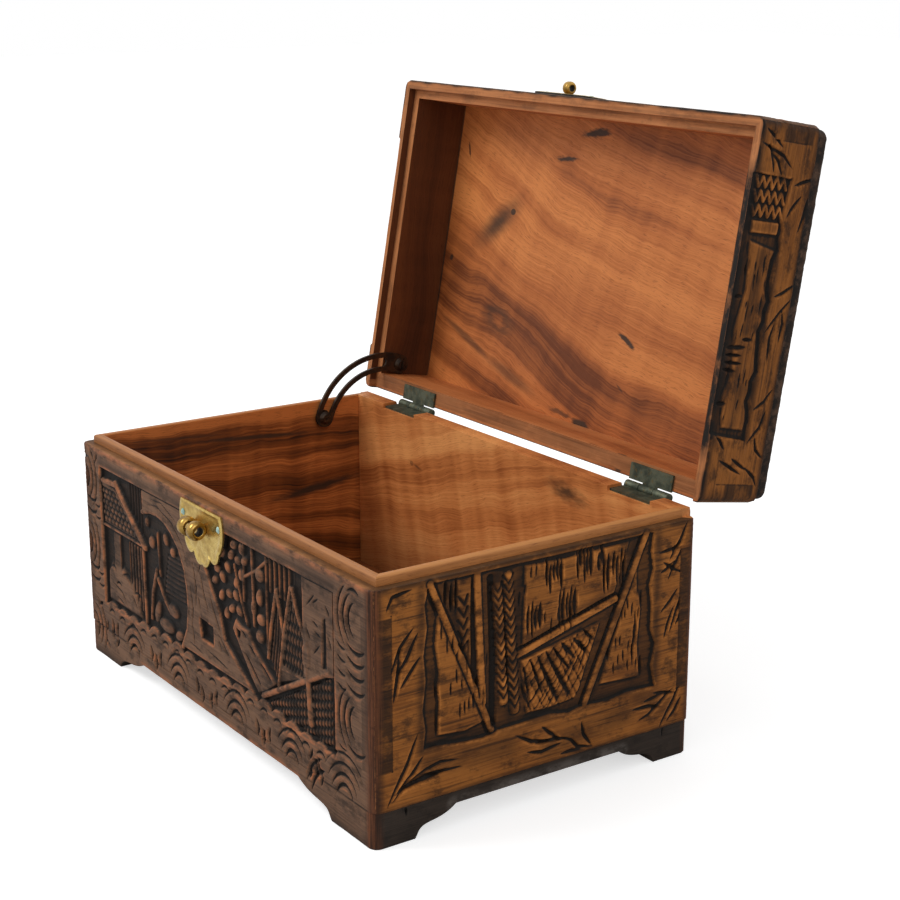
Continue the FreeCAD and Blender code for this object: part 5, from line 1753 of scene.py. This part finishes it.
@dataclass
class LidShell:
    """The lid: four rails whose rim fits over the box's lip, and a carved top board."""

    palette: Palette
    strip: float = 5.0
    top_step: float = 1.0

    def rim(self, us: Array, t: Array) -> Array:
        """Lower edge of a front or side rail, rebated inside."""
        return np.where(t < self.strip, S.lid_rim, S.lid_back_rim)

    def back_rim(self, us: Array, t: Array) -> Array:
        """Lower edge of the back rail, which clears the box's back except at its ends."""
        return np.where(S.half_w - np.abs(us) < self.strip, S.lid_rim, S.lid_back_rim)

    def build(self) -> None:
        """Build the rails and the top board."""
        p = self.palette
        side, front = LidSideCarving().relief(), LidFrontCarving().relief()
        edge = [0.9, 2.2]
        stops, back_stops = [*edge, self.strip - 0.001, self.strip + 0.001, S.wall], [*edge, S.wall]
        ends = [sign * (S.half_w - self.strip) for sign in (-1, 1)]
        fine, clean = (0.55, 0.55), (0.0, 0.0)
        rails = (
            ("front", Side.FRONT, self.rim, stops, (0.8, 0.7), front, (), (p.front, p.rail), clean),
            ("back", Side.BACK, self.back_rim, back_stops, (1.2, 2.0), None, ends, (p.back, p.rail),
             (0.3, 160.0)),
            ("right", Side.RIGHT, self.rim, stops, fine, side, (), (p.lid_side, p.shaded_inside), (1.0, 74.0)),
            ("left", Side.LEFT, self.rim, stops, fine, side, (), (p.lid_side, p.shadowed), clean),
        )
        for name, facing, rim, rim_stops, step, relief, breaks, finishes, stain in rails:
            rail = Board(f"lid_{name}_carved", facing, S.wall, rim, level(S.rail_top), rim_stops, [S.wall],
                         step, relief, lid=True, breaks=breaks, lower_rim=stain)
            settle(rail.build((*finishes, p.rim)), Body.LID, "carved_wood", f"lid_{name}_rail")
        settle(self.top_board(), Body.LID, "carved_wood", "lid_top_board")

    def lines(self, half: float) -> Array:
        """Grid lines of the top board across one direction, closer at its rounded edge.

        Args:
            half: Half the board's size in that direction.

        Returns:
            Places of the lines.
        """
        edge = half - np.array([0.0, 0.08, 0.35, 0.8, 1.4, 2.1])
        inner = half - S.top_round
        middle = np.linspace(-inner, inner, int(2 * inner / self.top_step))
        return np.concatenate([-edge, middle, edge[::-1]])

    def top_board(self) -> Object:
        """Build the top board: carved above with a rounded edge, planed below.

        Returns:
            The board's object, in the row's frame.
        """
        half_u, half_v = S.half_w - S.top_inset, S.half_d - S.top_inset
        u, v = np.meshgrid(self.lines(half_u), self.lines(half_v), indexing="ij")
        p = np.clip((np.abs(u) - half_u + S.corner) / S.corner, 0, 1)
        q = np.clip((np.abs(v) - half_v + S.corner) / S.corner, 0, 1)
        u = np.sign(u) * (np.minimum(np.abs(u), half_u - S.corner) + S.corner * p * np.sqrt(1 - q * q / 2))
        v = np.sign(v) * (np.minimum(np.abs(v), half_v - S.corner) + S.corner * q * np.sqrt(1 - p * p / 2))
        corner = S.corner * (1 - np.sqrt(np.clip(p * p + q * q - p * p * q * q, 0, 1)))
        near = np.clip(1 - corner / S.top_round, 0, 1)
        r = LidTopCarving().relief()
        carve, worn = r.read(r.h, u, v), r.read(r.edges(), u, v)
        z = S.lid_top + carve - S.top_round * (1 - np.sqrt(1 - near * near))
        top = np.stack([u, v, z], -1).reshape(-1, 3)
        number = np.arange(u.size).reshape(u.shape)
        ring = np.concatenate([number[:-1, 0], number[-1, :-1], number[:0:-1, -1], number[0, :0:-1]])
        foot = top[ring]
        foot[:, 2] = S.rail_top
        points = np.concatenate([top, foot])
        below = u.size + np.arange(len(ring))
        walls = weave(np.stack([ring, below]))
        faces = weave(number, closed=False).tolist() + walls.tolist() + [below[::-1].tolist()]
        index = np.append(np.zeros(len(faces) - 1), 1)
        finishes = (self.palette.front, self.palette.lid_panel)
        piece = make_piece("lid_top_carved", points, faces, finishes, index, True)
        rest = np.zeros(len(ring))
        soot = np.append(0.9 * near, rest + 1)
        mark(piece, points, carve=np.append(-carve, rest), worn=np.append(worn, rest), soot=soot)
        return piece


@dataclass
class Fittings:
    """Hinges, stay and clasp."""

    palette: Palette
    clasp_x: float = -6.0
    plate_half: float = 23.0
    plate_height: float = 30.0
    plate_thickness: float = 1.0
    plate_margin: float = 1.5
    ring_points: int = 48
    stem_points: int = 20
    stem_radius: float = 1.8
    stem_depth: float = 4.0
    crease: float = 50.0

    def build(self) -> None:
        """Give every fitting its finish."""
        p = self.palette
        parts = ("box_leaf", "lid_leaf", "box_nails", "lid_nails", "pin")
        dress(p.hinge, *(f"{hand}_hinge_{part}" for hand in ("left", "right") for part in parts))
        dress(p.stay, "stay_arm", "stay_box_screw", "stay_box_washer", "stay_lid_screw", "stay_lid_washer")
        dress(p.nail, "clasp_box_nails", "clasp_lid_nails")
        self.plate("box", S.ledge_z - self.plate_margin, -1, (p.clasp, p.clasp))
        # The lid's plate has its edge and back in near-black brass, as painted shadow.
        self.plate("lid", S.lid_rim + self.plate_margin, 1, (p.clasp, p.painted_shade_brass))
        for name, x in (("left", -5), ("right", 5)):
            self.eye(name, x, 112.0, 5.0, 3.0, 2.1)
        self.eye("lid", 0, 131.9, 3.6, 2.5, 1.5)

    @staticmethod
    def through(a: Point, b: Point, c: Point, count: int) -> List[Point]:
        """Points along the arc through three points, without the last.

        Args:
            a: Start of the arc.
            b: Point on it.
            c: End of it.
            count: How many points.

        Returns:
            The points.
        """
        first, second, third = spots = np.array([complex(*point) for point in (a, b, c)])
        w = (third - first) / (second - first)
        centre = first + (second - first) * (w - abs(w) ** 2) / (2j * w.imag)
        start, middle, end = np.angle(spots - centre)
        sweep = (end - start) % math.tau
        sweep -= 0 if (middle - start) % math.tau < sweep else math.tau
        arc = centre + (first - centre) * np.exp(1j * sweep * np.arange(count) / count)
        return [(spot.real, spot.imag) for spot in arc]

    def plate(self, name: str, flat_z: float, lobes: int, finishes: Sequence[Finish]) -> None:
        """Press a thin lobed plate with a raised line inside its edge and a boss under the eyes.

        Args:
            name: Whose plate it is, the box's or the lid's.
            flat_z: Height of its straight edge.
            lobes: 1 if its lobes point up, -1 if down.
            finishes: Finish of its face, then of its edge and back.
        """
        half = [((0.92, 0.0), (1.0, 0.36), (0.80, 0.68)), ((0.80, 0.68), (0.66, 0.86), (0.38, 0.84)),
                ((0.38, 0.84), (0.28, 0.97), (0.0, 1.0))]
        arcs = half + [tuple((-x, z) for x, z in arc[::-1]) for arc in half[::-1]]
        edge = [point for arc in arcs for point in self.through(*arc, 14)]
        edge += [(x, 0.0) for x in np.linspace(-0.92, 0.92, 18)[:-1]]
        edge = np.array(edge) * (self.plate_half, lobes * self.plate_height)
        middle = np.array((0.0, 0.42 * lobes * self.plate_height))
        shares = np.array((0.06, 0.2, 0.34, 0.48, 0.6, 0.7, 0.78, 0.84, 0.88, 0.91, 0.94, 0.97, 1.0, 1.0))
        boss, line = np.exp(-(shares / 0.42) ** 4), np.exp(-((shares - 0.91) / 0.035) ** 2)
        hollow = np.exp(-((shares - 0.78) / 0.08) ** 2)
        rise = self.plate_thickness + 0.45 * boss + 0.3 * line - 0.15 * hollow
        rise[-2:] = self.plate_thickness - 0.1, 0.0
        spots = middle + (edge - middle) * shares[:, None, None]
        out = np.repeat(-S.half_d - rise[:, None], len(edge), 1)
        points = np.stack([spots[..., 0] + self.clasp_x, out, spots[..., 1] + flat_z], -1)
        number = np.arange(out.size).reshape(out.shape)
        faces = weave(number)[:, [0, 3, 2, 1]].tolist() + [number[0, ::-1].tolist(), number[-1].tolist()]
        faces = [face[::-1] for face in faces] if lobes > 0 else faces
        sides = np.repeat(np.arange(len(shares) - 1) >= len(shares) - 3, len(edge))
        piece = make_piece(f"clasp_{name}_pressed", points.reshape(-1, 3), faces, finishes,
                           np.append(sides, [0, 1]), name == "lid", self.crease)
        settle(piece, Body(name), "polished_brass", f"clasp_{name}_plate")

    def eye(self, name: str, x: float, z: float, radius: float, half: float, hole: float) -> None:
        """Turn a fat ring with a hole along the box, its bore painted dark as shade, on a stem that runs into
        the wood.

        Args:
            name: Which eye it is: left and right on the box, or the lid's.
            x: How far it stands from the clasp's middle.
            z: Height of its middle, with the lid closed.
            radius: Its outer radius.
            half: Half its width.
            hole: Radius of its hole.
        """
        centre = (self.clasp_x + x, -S.half_d - self.plate_thickness - radius, z)
        turns = np.radians(np.linspace(8, 90, 8))
        shoulder = [(half * (0.3 + 0.7 * math.cos(t)), radius * (0.58 + 0.42 * math.sin(t))) for t in turns]
        side = [(half * 0.8, hole), (half * 0.96, hole + 0.35), *shoulder]
        profile = side + [(-across, r) for across, r in side[::-1]]
        around = np.linspace(0, math.tau, self.ring_points, endpoint=False)
        ring = [[(across, r * math.cos(t), r * math.sin(t)) for across, r in profile] for t in around]
        count = len(profile)
        number = np.arange(len(around) * count).reshape(-1, count)
        dark = np.zeros(number.shape)
        # The bore and its chamfers take the near-black brass, as painted shade inside the hole.
        dark[:, [0, count - 2, count - 1]] = 1
        stem = []
        for y in (hole + 0.5, self.stem_depth - S.half_d - centre[1]):
            for t in np.linspace(0, math.tau, self.stem_points, endpoint=False):
                stem.append((self.stem_radius * math.cos(t), y, self.stem_radius * math.sin(t)))
        low, high = number.size + np.arange(len(stem)).reshape(2, -1)
        sides = weave(np.stack([low, high])).tolist()
        faces = weave(np.vstack([number, number[:1]]))[:, [0, 3, 2, 1]].tolist() + sides
        faces += [low.tolist(), high[::-1].tolist()]
        points = np.concatenate([np.reshape(ring, (-1, 3)), stem]) + centre
        index = np.append(dark, np.zeros(len(sides) + 2))
        finishes, lid = (self.palette.eye, self.palette.painted_shade_brass), name == "lid"
        piece = make_piece(f"clasp_{name}_turned", points, faces, finishes, index, lid, self.crease)
        settle(piece, Body.LID if lid else Body.BOX, "polished_brass", f"clasp_{name}_eye")


@dataclass
class Studio:
    """White studio: pale floor, soft lamps and the camera."""

    lens: float = 72.48
    turn: float = 55.22
    tilt: float = 15.38
    position: Place = (774.2, -484.7, 389.1)
    lamps_face: Place = (0.0, 0.0, 0.12)
    sky: float = 0.55
    floor_half: float = 6.0
    floor_glow: float = 0.62

    WHITE = (1, 1, 1, 1)

    def build(self) -> None:
        """Set up the view, world, floor, lamps and camera."""
        bpy.context.scene.view_settings.view_transform = "Standard"
        self.world()
        self.floor()
        self.lamp("key_lamp", (-0.7, -1.2, 1.5), 14.0, 0.9)
        self.lamp("side_lamp", (1.4, -0.4, 0.9), 2.0, 0.8)
        self.camera()

    def world(self) -> None:
        """Light the object softly, and show white behind it and in its reflections."""
        b = Bench(bpy.data.worlds.new("studio"), "MixShader", "OutputWorld")
        rays = b.add("LightPath").outputs
        seen = b.math("MAXIMUM", rays["Is Camera Ray"], rays["Is Transmission Ray"])
        seen = b.math("MAXIMUM", seen, rays["Is Glossy Ray"])
        soft = b.add("Background", {"Color": self.WHITE, "Strength": self.sky})
        white = b.add("Background", {"Color": self.WHITE})
        b.feed(b.shader, {0: seen, 1: soft.outputs[0], 2: white.outputs[0]})
        bpy.context.scene.world = b.owner

    def floor(self) -> None:
        """Lay a wide pale floor that keeps a faint shadow."""
        mesh = bpy.data.meshes.new("studio_floor")
        size = self.floor_half
        mesh.from_pydata([(x, y, 0) for x, y in rect(-size, size, -size, size)], [], [(0, 1, 2, 3)])
        b = Bench(bpy.data.materials.new("floor_paper"))
        seen = b.add("LightPath").outputs["Is Camera Ray"]
        b.feed(b.shader, {"Base Color": (0.8, 0.8, 0.8, 1), "Roughness": 0.9, "Emission Color": self.WHITE,
                          "Emission Strength": b.math("MULTIPLY", seen, self.floor_glow)})
        mesh.materials.append(b.owner)
        floor = bpy.data.objects.new("studio_floor", mesh)
        bpy.context.scene.collection.objects.link(floor)

    @staticmethod
    def aim(name: str, data: bpy.types.ID, place: Place, look: Vector) -> Object:
        """Stand a lamp or the camera in the scene.

        Args:
            name: Its name.
            data: The lamp or the camera.
            place: Where it stands, in metres.
            look: Direction that it faces.

        Returns:
            Its object.
        """
        thing = bpy.data.objects.new(name, data)
        thing.location = place
        thing.rotation_euler = look.to_track_quat("-Z", "Y").to_euler()
        bpy.context.scene.collection.objects.link(thing)
        return thing

    def lamp(self, name: str, place: Place, power: float, size: float) -> None:
        """Hang one soft square lamp that faces the box.

        Args:
            name: Name of the lamp.
            place: Where it hangs, in metres.
            power: Its power in watts.
            size: Its side in metres.
        """
        data = bpy.data.lights.new(name, "AREA")
        data.energy = power
        data.size = size
        self.aim(name, data, place, Vector(self.lamps_face) - Vector(place))

    def camera(self) -> None:
        """Stand the camera where the photograph was taken from."""
        data = bpy.data.cameras.new("camera")
        data.lens = self.lens
        data.sensor_width = 36.0
        x, y, z = self.position
        turn, tilt = math.radians(self.turn), math.radians(self.tilt)
        look = Vector((-math.sin(turn) * math.cos(tilt), math.cos(turn) * math.cos(tilt), -math.sin(tilt)))
        bpy.context.scene.camera = self.aim("camera", data, (x * MM, y * MM + S.centre_y, z * MM), look)


def main() -> None:
    """Build the box, its lid, its fittings and the studio."""
    logging.basicConfig(level=logging.INFO, format="%(name)s %(message)s")
    palette = Palette()
    for part in (BoxShell(palette), LidShell(palette), Fittings(palette), Studio()):
        part.build()
        LOG.info("%s built", type(part).__name__)


if __name__ == "__main__":
    main()
